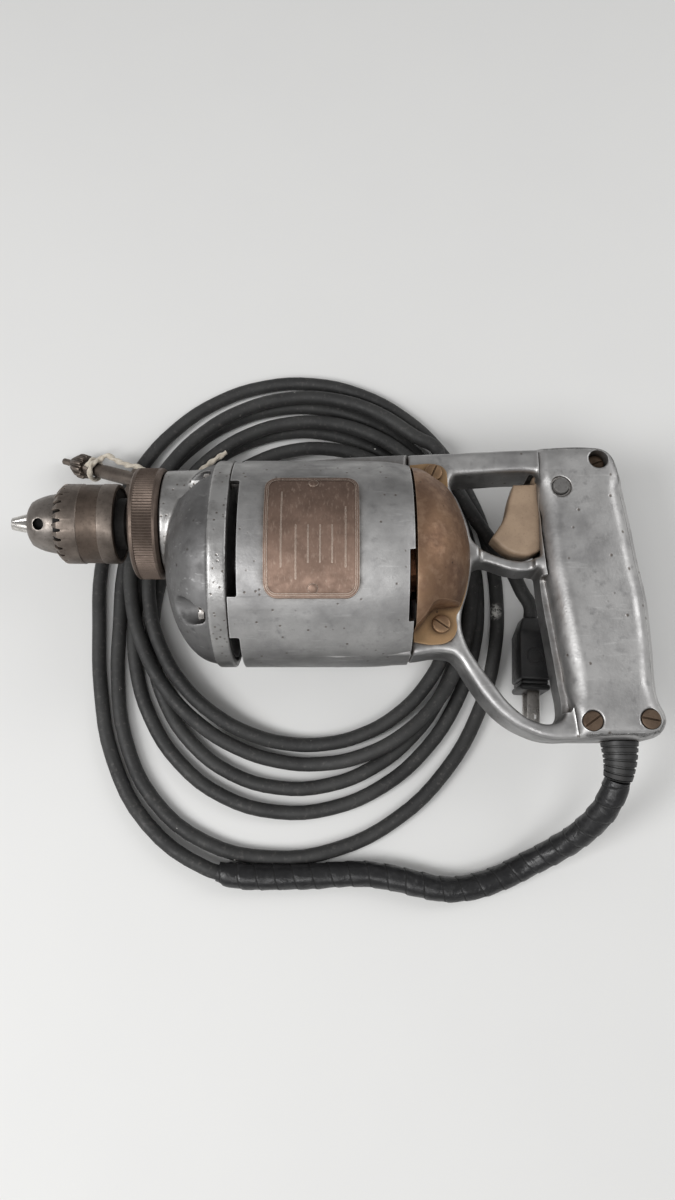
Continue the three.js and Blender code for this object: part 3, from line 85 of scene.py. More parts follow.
def facing_out(piece):
    """Ends editing with all faces turned outwards."""
    bpy.ops.mesh.normals_make_consistent(inside=False)
    alone(piece)
    return piece


def modified(piece, kind, **settings):
    alone(piece)
    step = piece.modifiers.new(kind.lower(), kind)
    for name, value in settings.items():
        setattr(step, name, value)
    bpy.ops.object.modifier_apply(modifier=step.name)
    return piece


def turned(name, profile, sides=96, joined=False):
    """Turns a profile of (x, radius) round the X axis: a ring is added, then extruded and scaled along it."""
    alone()
    x, r = profile[0]
    bpy.ops.mesh.primitive_circle_add(vertices=sides, radius=r * MM, location=(x * MM, 0, 0),
                                      rotation=(0, pi / 2, 0))
    piece = new_piece(name)
    editing(piece)
    for next_x, next_r in profile[1:]:
        bpy.ops.mesh.extrude_region_move(TRANSFORM_OT_translate={"value": ((next_x - x) * MM, 0, 0)})
        bpy.ops.transform.resize(value=(1, next_r / r, next_r / r), center_override=(next_x * MM, 0, 0))
        x, r = next_x, next_r
    bpy.ops.mesh.select_all(action="SELECT")
    if joined:
        bpy.ops.mesh.remove_doubles(threshold=WELD)
    else:
        bpy.ops.mesh.fill_holes(sides=0)
    return facing_out(piece)


def slab(name, outlines, low, high, rounding=0.0, smooth=True, steps=4):
    """Cuts a plate along an outline in X and Y, with its windows, and rounds its edges."""
    drawing = bpy.data.curves.new(name, "CURVE")
    drawing.dimensions = "2D"
    drawing.fill_mode = "BOTH"
    drawing.resolution_u = 5 if smooth else 1
    for outline in outlines:
        line = drawing.splines.new("BEZIER")
        line.use_cyclic_u = True
        line.bezier_points.add(len(outline) - 1)
        for i, (knot, (x, y)) in enumerate(zip(line.bezier_points, outline)):
            (a, b), (c, d) = outline[i - 1], outline[(i + 1) % len(outline)]
            bend = abs((atan2(d - y, c - x) - atan2(y - b, x - a) + pi) % (2 * pi) - pi)
            knot.co = (x * MM, y * MM, 0)
            knot.handle_left_type = knot.handle_right_type = "AUTO" if smooth and bend < SHARP_CORNER else "VECTOR"
    drawing.extrude = ((high - low) / 2 - rounding) * MM
    drawing.bevel_depth = rounding * MM
    drawing.bevel_resolution = steps
    drawing.offset = -rounding * MM
    plate = new_object(name, drawing)
    plate.location.z = (low + high) / 2 * MM
    plate = as_mesh(plate, name)
    editing(plate)
    bpy.ops.mesh.remove_doubles(threshold=WELD)
    return facing_out(plate)


def block(name, x, y, z, bevel=0.0, turn=None):
    """A block between pairs of limits, its edges bevelled, turned by a matrix where one is given."""
    alone()
    bpy.ops.mesh.primitive_cube_add(size=1, location=[sum(side) / 2 * MM for side in (x, y, z)],
                                    scale=[(side[1] - side[0]) * MM for side in (x, y, z)])
    piece = new_piece(name)
    if bevel:
        bevelled(piece, bevel, 3)
    if turn:
        piece.data.transform(turn)
    return piece


def joined(pieces):
    alone()
    for piece in pieces:
        piece.select_set(True)
    bpy.context.view_layer.objects.active = pieces[0]
    bpy.ops.object.join()
    return bpy.context.object


def carved(piece, *tools, how="DIFFERENCE", solver="EXACT"):
    for tool in tools:
        modified(piece, "BOOLEAN", object=tool, operation=how, solver=solver)
        bpy.data.objects.remove(tool)
    return piece


def shift(x=0.0, y=0.0, z=0.0):
    return Matrix.Translation(Vector((x, y, z)) * MM)


def about_x(angle):
    return Matrix.Rotation(radians(angle), 4, "X")


def moved(piece, x=0.0, y=0.0, z=0.0, turn=None):
    if turn:
        piece.data.transform(turn)
    piece.data.transform(shift(x, y, z))
    return piece


def copied(piece, name, matrix):
    copy = new_object(name, piece.data.copy())
    copy.data.name = name
    copy.data.transform(matrix)
    return copy


def bevelled(piece, width, segments=2, angle=30):
    return modified(piece, "BEVEL", width=width * MM, segments=segments, limit_method="ANGLE",
                    angle_limit=radians(angle))


def remeshed(piece, grain):
    return modified(piece, "REMESH", mode="VOXEL", voxel_size=grain * MM)


def cast(piece, grain):
    """Gives a carved shape the soft edges of a sand casting."""
    return modified(remeshed(piece, grain), "SMOOTH", factor=0.5, iterations=5)


def settled(piece, finish, *nodes, body="drill", slot=None, lift=LIFT, angle=35):
    """Lifts a piece to its height, shades it smooth, gives it its finish and its body, and hides the CAD nodes that it
    stands for.
    """
    piece.data.transform(Matrix.Translation((0, 0, lift * MM)))
    alone(piece)
    bpy.ops.object.shade_smooth_by_angle(angle=radians(angle))
    piece.data.materials.clear()
    piece.data.materials.append(FINISHES[finish])
    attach(piece, body)
    if nodes:
        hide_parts(*nodes)
    return piece


def finished_partly(piece, finish, where):
    """Gives a second finish to the faces whose middle, in mm from the middle of the floor, meets a rule."""
    piece.data.materials.append(FINISHES[finish])
    for face in piece.data.polygons:
        face.material_index = int(where(*face.center / MM))


def on_handle(shares):
    return [(HANDLE_START + x * HANDLE_REACH, y * HANDLE_HEIGHT) for x, y in shares]


def inset(outline, distance):
    """Moves every side of an outline inwards, or outwards where the distance is negative."""
    area = sum(x * v - u * y for (x, y), (u, v) in zip(outline, outline[1:] + outline[:1]))
    side = copysign(distance, area)

    def normal(p, q):
        length = hypot(q[0] - p[0], q[1] - p[1])
        return -(q[1] - p[1]) / length, (q[0] - p[0]) / length

    result = []
    for i, point in enumerate(outline):
        a, b = normal(outline[i - 1], point), normal(point, outline[(i + 1) % len(outline)])
        spread = 1 + a[0] * b[0] + a[1] * b[1]
        result.append((point[0] + side * (a[0] + b[0]) / spread, point[1] + side * (a[1] + b[1]) / spread))
    return result


def round_box(x0, x1, y0, y1, radius, steps=6):
    points = []
    for (x, y), start in zip(((x1 - radius, y1 - radius), (x0 + radius, y1 - radius),
                              (x0 + radius, y0 + radius), (x1 - radius, y0 + radius)), range(4)):
        for i in range(steps + 1):
            angle = pi / 2 * (start + i / steps)
            points.append((x + radius * cos(angle), y + radius * sin(angle)))
    return points


# --- finishes ---

class Finish:
    """A finish built from layers of grain, stains, wear and painted shade in the object's own coordinates."""

    def __init__(self, name, colour, roughness, metallic=0.0):
        self.material = bpy.data.materials.new(name)
        self.material.use_nodes = True
        self.tree = self.material.node_tree
        self.shader = self.tree.nodes["Principled BSDF"]
        self.shader.inputs["Metallic"].default_value = metallic
        self.place = self.add("TexCoord").outputs["Object"]
        self.colour = (*colour, 1.0)
        self.rough = roughness
        self.relief = None

    def add(self, kind, settings=None, **inputs):
        node = self.tree.nodes.new("ShaderNode" + kind)
        for name, value in (settings or {}).items():
            setattr(node, name, value)
        for name, value in inputs.items():
            self.set(node.inputs[name.replace("_", " ")], value)
        return node

    def set(self, socket, value):
        if isinstance(value, bpy.types.NodeSocket):
            self.tree.links.new(value, socket)
        else:
            socket.default_value = value

    def maths(self, operation, *values):
        node = self.add("Math", {"operation": operation})
        for socket, value in zip(node.inputs, values):
            self.set(socket, value)
        return node.outputs[0]

    def axis(self, letter, of=None):
        return self.add("SeparateXYZ", Vector=of or self.place).outputs[letter]

    def spread(self, value, low, high):
        """Stretches a value so that low becomes 0 and high becomes 1."""
        return self.add("MapRange", Value=value, From_Min=low, From_Max=high).outputs["Result"]

    def grain(self, size, low, high, stretch=(1, 1, 1), detail=4.0, twist=0.0):
        """Blotches of about the given size in mm; low and high set how much they cover."""
        place = self.add("Mapping", Vector=self.place, Scale=stretch).outputs["Vector"]
        noise_node = self.add("TexNoise", Vector=place, Scale=1 / (size * MM), Detail=detail, Roughness=0.6,
                              Distortion=twist)
        return self.spread(noise_node.outputs["Fac"], low, high)

    def pits(self, size, reach):
        node = self.add("TexVoronoi", {"feature": "F1"}, Vector=self.place, Scale=1 / (size * MM))
        return self.spread(node.outputs["Distance"], reach, reach * 0.4)

    def tint(self, mask, colour, share=1.0):
        """Lays a colour over the rest where the mask is 1, as strongly as the share says."""
        node = self.add("Mix", {"data_type": "RGBA"})
        self.set(node.inputs[0], mask if share == 1.0 else self.maths("MULTIPLY", mask, share))
        self.set(node.inputs[6], self.colour)
        self.set(node.inputs[7], (*colour, 1.0))
        self.colour = node.outputs[2]

    def edges(self, width):
        """1 along worn edges: where a rounded normal leaves the real one."""
        soft = self.add("Bevel", {"samples": 4}, Radius=width * MM).outputs["Normal"]
        real = self.add("NewGeometry").outputs["Normal"]
        dot = self.add("VectorMath", {"operation": "DOT_PRODUCT"})
        self.set(dot.inputs[0], soft)
        self.set(dot.inputs[1], real)
        return self.spread(dot.outputs["Value"], 1.0, 0.88)

    def crevice_shade(self, reach):
        # Painted shade: 1 where ambient occlusion finds a point closed in, so crevices, recesses and seams come out
        # darker.
        shade = self.add("AmbientOcclusion", {"samples": 4}, Distance=reach * MM)
        return self.spread(shade.outputs["AO"], 0.9, 0.45)

    def rougher(self, share, amount):
        self.rough = self.maths("MULTIPLY_ADD", share, amount, self.rough)

    def raise_by(self, height, depth):
        """Adds relief: a height from 0 to 1 over a depth in mm."""
        bump = self.add("Bump", Height=height, Distance=depth * MM, Strength=1.0)
        if self.relief:
            self.set(bump.inputs["Normal"], self.relief)
        self.relief = bump.outputs["Normal"]

    def done(self, **sockets):
        self.set(self.shader.inputs["Base Color"], self.colour)
        self.set(self.shader.inputs["Roughness"], self.rough)
        if self.relief:
            self.set(self.shader.inputs["Normal"], self.relief)
        for name, value in sockets.items():
            self.shader.inputs[name.replace("_", " ")].default_value = value
        return self.material


def cast_aluminium(name, light, dark, grime_and_shade, roughness, pits=(7.5, 0.13), top=None):
    f = Finish(name, light, roughness, 0.9)
    f.tint(f.grain(26, 0.42, 0.66, detail=6), dark)
    f.tint(f.grain(5, 0.56, 0.72, detail=8), dark)
    # Painted shade: where a top colour is given, the casting darkens in blotches from Y = 4 mm to 30 mm, the side
    # turned away from the light.
    if top:
        upper = f.spread(f.axis("Y"), 4 * MM, 30 * MM)
        f.tint(f.maths("MULTIPLY", upper, f.grain(34, 0.30, 0.60, detail=6)), top)
    # Painted shade: faces that stand upright, their normal mostly level, are darkened.
    level = f.axis("Z", f.add("TexCoord").outputs["Normal"])
    sides = f.spread(f.maths("ABSOLUTE", level), 0.62, 0.10)
    f.tint(sides, tuple(0.6 * c for c in dark), 0.6)
    scratches = f.grain(3.2, 0.60, 0.70, stretch=(0.18, 1.6, 1.6), detail=6)
    f.tint(scratches, (0.85, 0.85, 0.84), 0.2)
    holes = f.pits(*pits)
    f.tint(holes, grime_and_shade, 0.75)
    f.tint(f.edges(0.9), (0.88, 0.88, 0.87), 0.55)
    # Painted shade: seams and recesses darkened by the crevice shade, broken up by blotches.
    f.tint(f.maths("MULTIPLY", f.crevice_shade(5), f.grain(6, 0.25, 0.62)), grime_and_shade)
    f.rougher(f.grain(9, 0.35, 0.7), 0.22)
    f.raise_by(f.grain(1.3, 0.2, 0.8, detail=6), 0.05)
    f.raise_by(f.maths("SUBTRACT", 1.0, holes), 0.12)
    return f.done()


def patina_steel(name, light, dark, grime_and_shade, roughness, metallic=0.9):
    f = Finish(name, light, roughness, metallic)
    f.tint(f.grain(9, 0.40, 0.66, detail=6), dark)
    f.tint(f.grain(1.2, 0.55, 0.75, detail=5), grime_and_shade, 0.6)
    f.tint(f.edges(0.45), tuple(min(1, c * 1.9) for c in light), 0.65)
    # Painted shade: crevices and recesses darkened.
    f.tint(f.crevice_shade(2.5), grime_and_shade, 0.85)
    f.rougher(f.grain(3, 0.35, 0.7), 0.2)
    f.raise_by(f.grain(0.5, 0.2, 0.8), 0.02)
    return f.done()


def moulded_plastic(name, light, dark, roughness, grime_and_shade=(0.02, 0.02, 0.02)):
    f = Finish(name, light, roughness)
    f.tint(f.grain(8, 0.40, 0.70), dark)
    f.tint(f.grain(0.9, 0.60, 0.75), grime_and_shade, 0.5)
    # Painted shade: crevices and recesses darkened.
    f.tint(f.crevice_shade(2.5), grime_and_shade, 0.7)
    f.rougher(f.grain(4, 0.35, 0.7), 0.15)
    f.raise_by(f.grain(0.6, 0.2, 0.8), 0.02)
    return f.done()


def cord_rubber():
    f = Finish("cord_rubber", (0.023, 0.023, 0.023), 0.52)
    f.tint(f.grain(30, 0.40, 0.65), (0.040, 0.040, 0.039))
    f.tint(f.grain(2.2, 0.56, 0.74), (0.12, 0.11, 0.105), 0.5)
    f.tint(f.grain(3.2, 0.755, 0.79, detail=2), (0.62, 0.61, 0.58))
    scuff = f.add("VectorMath", {"operation": "DISTANCE"}, Vector=f.place)
    scuff.inputs[1].default_value = Vector((85.5, -14, 8)) * MM
    f.tint(f.maths("MULTIPLY", f.spread(scuff.outputs["Value"], 5.4 * MM, 2 * MM), f.grain(1.4, 0.40, 0.56)),
           (0.66, 0.65, 0.62))
    f.rougher(f.grain(5, 0.3, 0.7), 0.2)
    f.raise_by(f.grain(0.7, 0.2, 0.8), 0.03)
    return f.done()


def wrapped_tape():
    """Glossy tape; U runs along the lead in cm and V round it, so their sum follows the wraps."""
    f = Finish("wrapped_tape", (0.011, 0.011, 0.012), 0.30)
    uv = f.add("SeparateXYZ", Vector=f.add("TexCoord").outputs["UV"])
    wraps = f.maths("FRACT", f.maths("SUBTRACT", f.maths("DIVIDE", uv.outputs["X"], 0.95), uv.outputs["Y"]))
    seam = f.spread(wraps, 0.10, 0.02)
    f.tint(f.grain(4, 0.5, 0.75), (0.030, 0.030, 0.032), 0.6)
    f.tint(seam, (0.003, 0.003, 0.003))
    f.rougher(f.grain(6, 0.40, 0.75), 0.20)
    f.rougher(seam, 0.4)
    f.raise_by(f.grain(6, 0.3, 0.75, twist=0.8), 0.22)
    f.raise_by(f.maths("SUBTRACT", 1.0, seam), 0.2)
    return f.done()


def twisted_twine():
    f = Finish("twisted_twine", (0.70, 0.64, 0.54), 0.85)
    f.tint(f.grain(2.5, 0.4, 0.7), (0.52, 0.45, 0.36))
    # Painted shade: the string darkened between its plies and where it lies against things.
    f.tint(f.crevice_shade(1.2), (0.16, 0.13, 0.10), 0.6)
    f.raise_by(f.grain(0.25, 0.2, 0.8, detail=3), 0.12)
    return f.done(Sheen_Weight=0.3)


def cover_brass():
    f = Finish("cover_brass", (0.30, 0.185, 0.115), 0.42, 0.85)
    f.tint(f.grain(16, 0.36, 0.62, detail=5), (0.20, 0.120, 0.080))
    f.tint(f.grain(5, 0.50, 0.72, detail=7), (0.42, 0.28, 0.19), 0.7)
    height = f.axis("Z")
    tabs = f.spread(height, (LIFT + 15.6) * MM, (LIFT + 14.0) * MM)
    under = f.spread(height, (LIFT - 14.0) * MM, (LIFT - 12.0) * MM)
    f.tint(f.maths("MULTIPLY", tabs, under), (0.50, 0.33, 0.17), 0.75)
    f.tint(f.pits(6, 0.12), (0.05, 0.035, 0.03), 0.8)
    f.tint(f.edges(0.6), (0.75, 0.55, 0.38), 0.5)
    # Painted shade: crevices and recesses of the cover darkened.
    f.tint(f.crevice_shade(3), (0.05, 0.035, 0.028), 0.85)
    f.rougher(f.grain(4, 0.35, 0.7), 0.2)
    f.raise_by(f.grain(0.8, 0.2, 0.8), 0.03)
    return f.done()


def plate_copper():
    f = Finish("plate_copper", (0.31, 0.212, 0.165), 0.48, 0.8)
    f.tint(f.grain(11, 0.36, 0.64, detail=6), (0.215, 0.145, 0.112))
    # Painted shade: the plate darkens towards +Y, its side turned away from the light.
    upper = f.spread(f.axis("Y"), 0, 28 * MM)
    f.tint(upper, (0.125, 0.085, 0.068), 0.75)
    f.tint(f.grain(1.6, 0.54, 0.72, stretch=(1.5, 0.5, 1), detail=7), (0.42, 0.32, 0.26), 0.6)
    f.tint(f.edges(0.35), (0.86, 0.74, 0.64), 0.9)
    # Painted shade: crevices round the rim, rules and rivets darkened.
    f.tint(f.crevice_shade(1.0), (0.09, 0.055, 0.04), 0.8)
    f.rougher(f.grain(3, 0.35, 0.7), 0.2)
    f.raise_by(f.grain(0.6, 0.2, 0.8, stretch=(2, 0.4, 1)), 0.03)
    return f.done()


def laminations():
    f = Finish("laminations", (0.20, 0.20, 0.21), 0.5, 0.7)
    along = f.axis("X")
    sheets = f.maths("FRACT", f.maths("MULTIPLY", along, 1500.0))
    f.tint(f.spread(sheets, 0.25, 0.0), (0.05, 0.05, 0.05))
    f.tint(f.grain(4, 0.5, 0.7), (0.12, 0.10, 0.09))
    f.raise_by(sheets, 0.1)
    return f.done()


FINISHES = {
    "casting": cast_aluminium("cast_aluminium", (0.50, 0.495, 0.49), (0.34, 0.335, 0.335), (0.10, 0.075, 0.055), 0.36),
    # The barrel's top colour is painted shade on its side towards +Y.
    "barrel_casting": cast_aluminium("barrel_aluminium", (0.50, 0.495, 0.49), (0.35, 0.345, 0.345),
                                     (0.10, 0.075, 0.055), 0.43, pits=(5.2, 0.15), top=(0.22, 0.216, 0.215)),
    # Painted shade: a darker copy of the cast aluminium, laid on the gear housing's dome.
    "dark_casting": cast_aluminium("shaded_cast_aluminium", (0.21, 0.208, 0.208), (0.125, 0.122, 0.122),
                                   (0.05, 0.042, 0.036), 0.50),
    "neck_casting": cast_aluminium("neck_cast_aluminium", (0.48, 0.475, 0.47), (0.27, 0.265, 0.26),
                                   (0.09, 0.068, 0.05), 0.34, pits=(3.2, 0.22)),
    "jaw_steel": patina_steel("jaw_steel", (0.68, 0.66, 0.63), (0.46, 0.44, 0.41), (0.12, 0.09, 0.07), 0.22),
    "steel": patina_steel("bright_steel", (0.52, 0.50, 0.48), (0.36, 0.34, 0.32), (0.10, 0.075, 0.06), 0.26),
    "nose_steel": patina_steel("nose_steel", (0.26, 0.235, 0.215), (0.16, 0.14, 0.125), (0.05, 0.04, 0.033), 0.34),
    "dark_steel": patina_steel("chuck_steel", (0.20, 0.168, 0.145), (0.135, 0.112, 0.096), (0.05, 0.04, 0.032), 0.38),
    "band_steel": patina_steel("band_steel", (0.14, 0.108, 0.088), (0.095, 0.074, 0.060), (0.04, 0.03, 0.025), 0.42),
    "bronze": patina_steel("collar_steel", (0.19, 0.148, 0.124), (0.13, 0.100, 0.083), (0.045, 0.034, 0.027), 0.42),
    # Painted shade: near-black steel for the chuck's gap behind the sleeve, its tooth spaces and key holes, with old
    # grease in the gap.
    "shade_and_grease": patina_steel("shade_and_grease_steel", (0.020, 0.018, 0.017), (0.012, 0.011, 0.010), (0.005, 0.005, 0.005), 0.6, 0.3),
    "rusty_steel": patina_steel("rusty_brass", (0.17, 0.122, 0.088), (0.11, 0.077, 0.056), (0.05, 0.032, 0.02), 0.55),
    "brass": patina_steel("screw_brass", (0.38, 0.25, 0.15), (0.25, 0.16, 0.10), (0.07, 0.045, 0.03), 0.42),
    "copper": patina_steel("winding_copper", (0.48, 0.22, 0.12), (0.30, 0.13, 0.07), (0.08, 0.04, 0.025), 0.4),
    "button": patina_steel("button_grey", (0.20, 0.195, 0.19), (0.14, 0.135, 0.13), (0.05, 0.045, 0.04), 0.5, 0.5),
    "tan_plastic": moulded_plastic("tan_plastic", (0.40, 0.29, 0.20), (0.31, 0.22, 0.15), 0.42, (0.10, 0.07, 0.05)),
    "grey_plastic": moulded_plastic("grey_plastic", (0.20, 0.20, 0.20), (0.15, 0.15, 0.15), 0.5),
    "black_plastic": moulded_plastic("black_plastic", (0.014, 0.014, 0.015), (0.022, 0.021, 0.021), 0.34),
    "black_rubber": moulded_plastic("black_rubber", (0.018, 0.018, 0.019), (0.030, 0.029, 0.028), 0.40),
    "carbon": moulded_plastic("carbon", (0.03, 0.03, 0.032), (0.05, 0.05, 0.05), 0.7),
    "cord_rubber": cord_rubber(), "tape": wrapped_tape(), "twine": twisted_twine(), "cover": cover_brass(),
    "plate": plate_copper(), "laminate": laminations(),
}


# --- camera, light and floor ---

def photo_camera():
    camera = new_object("photo_camera", bpy.data.cameras.new("photo_camera"))
    camera.data.sensor_width = 36
    camera.data.lens = 26.4
    camera.location = (0, -0.12471, 0.47788)
    camera.rotation_euler = (radians(14), 0, 0)
    bpy.context.scene.camera = camera


def soft_light(name, place, size, watts):
    """A lamp aimed at the drill."""
    lamp = bpy.data.lights.new(name, "AREA")
    lamp.shape = "RECTANGLE"
    lamp.size, lamp.size_y = size
    lamp.energy = watts
    holder = new_object(name, lamp)
    holder.location = place
    holder.rotation_euler = (Vector((0, 0, 0.03)) - Vector(place)).to_track_quat("-Z", "Y").to_euler()


def studio():
    soft_light("west_light", (-0.98, -0.42, 1.10), (0.5, 0.7), 12)
    soft_light("south_light", (-0.15, -0.90, 1.35), (0.9, 0.5), 6)
    soft_light("side_light", (0.95, 0.25, 0.75), (0.4, 0.7), 3)
    world = bpy.data.worlds.new("studio")
    world.use_nodes = True
    sky = world.node_tree.nodes["Background"].inputs
    sky["Color"].default_value = (0.99, 0.985, 0.98, 1)
    sky["Strength"].default_value = 0.32
    bpy.context.scene.world = world
    alone()
    bpy.ops.mesh.primitive_grid_add(x_subdivisions=8, y_subdivisions=8, size=6, location=(0, 0, -0.0001))
    floor = new_piece("studio_floor")
    f = Finish("studio_floor", (0.80, 0.80, 0.79), 0.8)
    f.tint(f.grain(90, 0.4, 0.7), (0.77, 0.77, 0.765), 0.3)
    floor.data.materials.append(f.done())
    bpy.context.scene.view_settings.view_transform = "Standard"


# --- cord, tape, string ---

CORD, TAPE, TWINE = 3.8, 6.6, 1.4
INNER_LEAD = [
    (127, 3.7, LIFT), (127.4, -8, LIFT), (130, -28, LIFT), (133.5, -48, LIFT), (135.2, -66, LIFT), (135.2, -76, LIFT)]
RELIEF_PATH = [
    (135.2, -82.9, LIFT), (135.2, -88.8, LIFT), (135.2, -92, LIFT), (135.1, -97, 51.3), (134.6, -101.7, 50.4),
    (133.9, -106.1, 49)]
LEAD_PATH = [
    (133.9, -106.1, 49), (133, -110.2, 47), (130.3, -117.6, 42), (126.7, -124, 35.9), (122.2, -129.6, 29.3),
    (116.8, -134.7, 22.7), (110.6, -139.2, 16.6), (103.7, -143.5, 11.6), (96.2, -147.5, 8.2),
    (88, -151.6, 6.9), (77, -155.9, 6.9), (66, -158.6, 6.9), (54, -159.2, 6.9), (41, -156.8, 6.9), (27, -153.4, 6.9),
    (9, -151.8, 6.9), (-12, -152.7, 6.9), (-33, -153.3, 6.9), (-46, -153.1, 6.9), (-56, -151.9, 6.9)]
TAIL_PATH = [
    (57.3, 73.6, 12.2), (63.2, 64, 12.3), (68, 54, 12.4), (73.4, 43.6, 12.5), (80.2, 32.4, 12.5), (88.4, 20, 12.5),
    (95.8, 7.4, 12.5), (100.8, -4.4, 12.5)]
COIL_TURN, COIL_START, LEAD_IN = radians(2002), radians(252), radians(66)
COIL_STEPS, LEAD_SWING = 133, 33
ON_FLOOR, UNDER_TAPE, ON_TOP = 3.9, 6.9, 12.3
COIL_OUTER = {"a": 113, "b": 128, "x": -22, "y": 4}
COIL_INNER = {"a": 77, "b": 83, "x": -16, "y": -3}
COIL_STRAYS = [(-0.84, 360, 140, 70), (-0.52, 715, 130, 100), (-0.50, 1080, 140, 105), (0.17, 1430, 90, 90),
               (0.22, 1800, 85, 110)]
COIL_DIPS = [(1420, 100, 60), (1790, 52, 48)]
PLUG_AT, PLUG_TURN = Vector((104.4, -19.7, 12.5)), radians(-2.6)


def eased(share):
    t = min(1.0, max(0.0, share))
    return t * t * (3 - 2 * t)


def hump(turned_by, middle, before, after):
    """Rises from 0 to 1 and falls again, the three given in degrees of turn."""
    away = degrees(turned_by) - middle
    share = abs(away) / (before if away < 0 else after)
    return cos(pi / 2 * share) ** 2 if share < 1 else 0.0


def coil_point(turned_by):
    """Spirals in on the floor and out again on top, clockwise from above; its loops stray and dip where they may."""
    back = COIL_TURN / 1.65
    inward = turned_by / back if turned_by < back else 2 - turned_by / back
    inward += sum(size * hump(turned_by, *where) for size, *where in COIL_STRAYS)
    loop = {k: COIL_OUTER[k] + (COIL_INNER[k] - COIL_OUTER[k]) * inward for k in COIL_OUTER}
    angle = COIL_START - turned_by
    out = LEAD_SWING * cos(pi / 2 * turned_by / LEAD_IN) ** 2 if turned_by < LEAD_IN else 0
    entry = UNDER_TAPE + (ON_FLOOR - UNDER_TAPE) * eased(turned_by / radians(20))
    dip = 1 - sum(hump(turned_by, *where) for where in COIL_DIPS)
    level = ON_FLOOR + (ON_TOP - ON_FLOOR) * eased((turned_by - back) / pi + 0.5) * dip
    return Vector((loop["x"] + (loop["a"] + out) * cos(angle), loop["y"] + (loop["b"] + out) * sin(angle),
                   max(entry, level)))


def beyond(point, following, distance):
    return point + (point - following).normalized() * distance


def plug_place(x, y, z):
    return PLUG_AT + Matrix.Rotation(PLUG_TURN, 3, "Z") @ Vector((x, y, z))


COIL_POINTS = [coil_point(COIL_TURN * i / COIL_STEPS) for i in range(COIL_STEPS + 1)]


def line_of(name, points, radius, sides, steps):
    """A cord: one smooth curve through its points, with a round section."""
    drawing = bpy.data.curves.new(name, "CURVE")
    drawing.dimensions = "3D"
    drawing.resolution_u = steps
    line = drawing.splines.new("BEZIER")
    line.bezier_points.add(len(points) - 1)
    for knot, point in zip(line.bezier_points, points):
        knot.co = Vector(point) * MM
        knot.handle_left_type = knot.handle_right_type = "AUTO"
    drawing.bevel_depth = radius * MM
    drawing.bevel_resolution = (sides - 4) // 2
    drawing.use_fill_caps = True
    return new_object(name, drawing)


def shaped_tube(name, points, radius, sides, steps, shape):
    """Makes a tube along a curve and gives every ring its shape: a radius from its distance along and angle round.
    U is the distance along in cm and V the angle round. Returns the piece and the line that its rings follow."""
    tube = line_of(name, points, radius, sides, steps)
    tube.data.use_fill_caps = False
    tube = as_mesh(tube, name)
    mesh = tube.data
    rings = len(mesh.vertices) // sides
    centres = [sum((mesh.vertices[i * sides + k].co for k in range(sides)), Vector()) / sides for i in range(rings)]
    along = [0.0]
    for p, q in zip(centres, centres[1:]):
        along.append(along[-1] + (q - p).length)
    for i, centre in enumerate(centres):
        for k in range(sides):
            vertex = mesh.vertices[i * sides + k]
            out = (vertex.co - centre).normalized()
            vertex.co = centre + out * shape(along[i] / MM, 2 * pi * k / sides, along[-1] / MM) * MM
    while mesh.uv_layers:
        mesh.uv_layers.remove(mesh.uv_layers[0])
    layer = mesh.uv_layers.new(name="along_and_round")
    for face in mesh.polygons:
        turns = [mesh.loops[i].vertex_index % sides / sides for i in face.loop_indices]
        wrap = max(turns) - min(turns) > 0.5
        for i, turn in zip(face.loop_indices, turns):
            ring = mesh.loops[i].vertex_index // sides
            layer.data[i].uv = (along[ring] * 100, turn + 1 if wrap and turn < 0.5 else turn)
    editing(tube)
    bpy.ops.mesh.fill_holes(sides=0)
    return facing_out(tube), centres


def tape_shape(along, angle, length):
    wrap = (along / 9.5 - angle / (2 * pi)) % 1.0
    step = 0.50 * wrap
    fold = 0.30 * noise.noise(Vector((along * 0.11, 1.3 * cos(angle), 1.3 * sin(angle))))
    crease = 0.10 * noise.noise(Vector((along * 0.5, 2.5 * cos(angle) + 7, 2.5 * sin(angle))))
    end = 1.4 * (1 - eased((length - along) / 7)) + 0.4 * (1 - eased(along / 4))
    return TAPE - 0.50 + step + fold + crease - end


def twine_shape(along, angle, length):
    plies = cos(2 * angle + along * 1.05)
    return 1.36 + 0.34 * plies + 0.09 * noise.noise(Vector((along * 1.1, 2 * cos(angle), 2 * sin(angle))))


# Where the chuck key lies on the floor
KEY_PLACE = (shift(-158, 76, 4.3) @ Matrix.Rotation(radians(-22.3), 4, "Z")
             @ Matrix.Rotation(radians(-20), 4, "Y"))


def on_key(x, y, z):
    return (KEY_PLACE @ (Vector((x, y, z)) * MM)) / MM


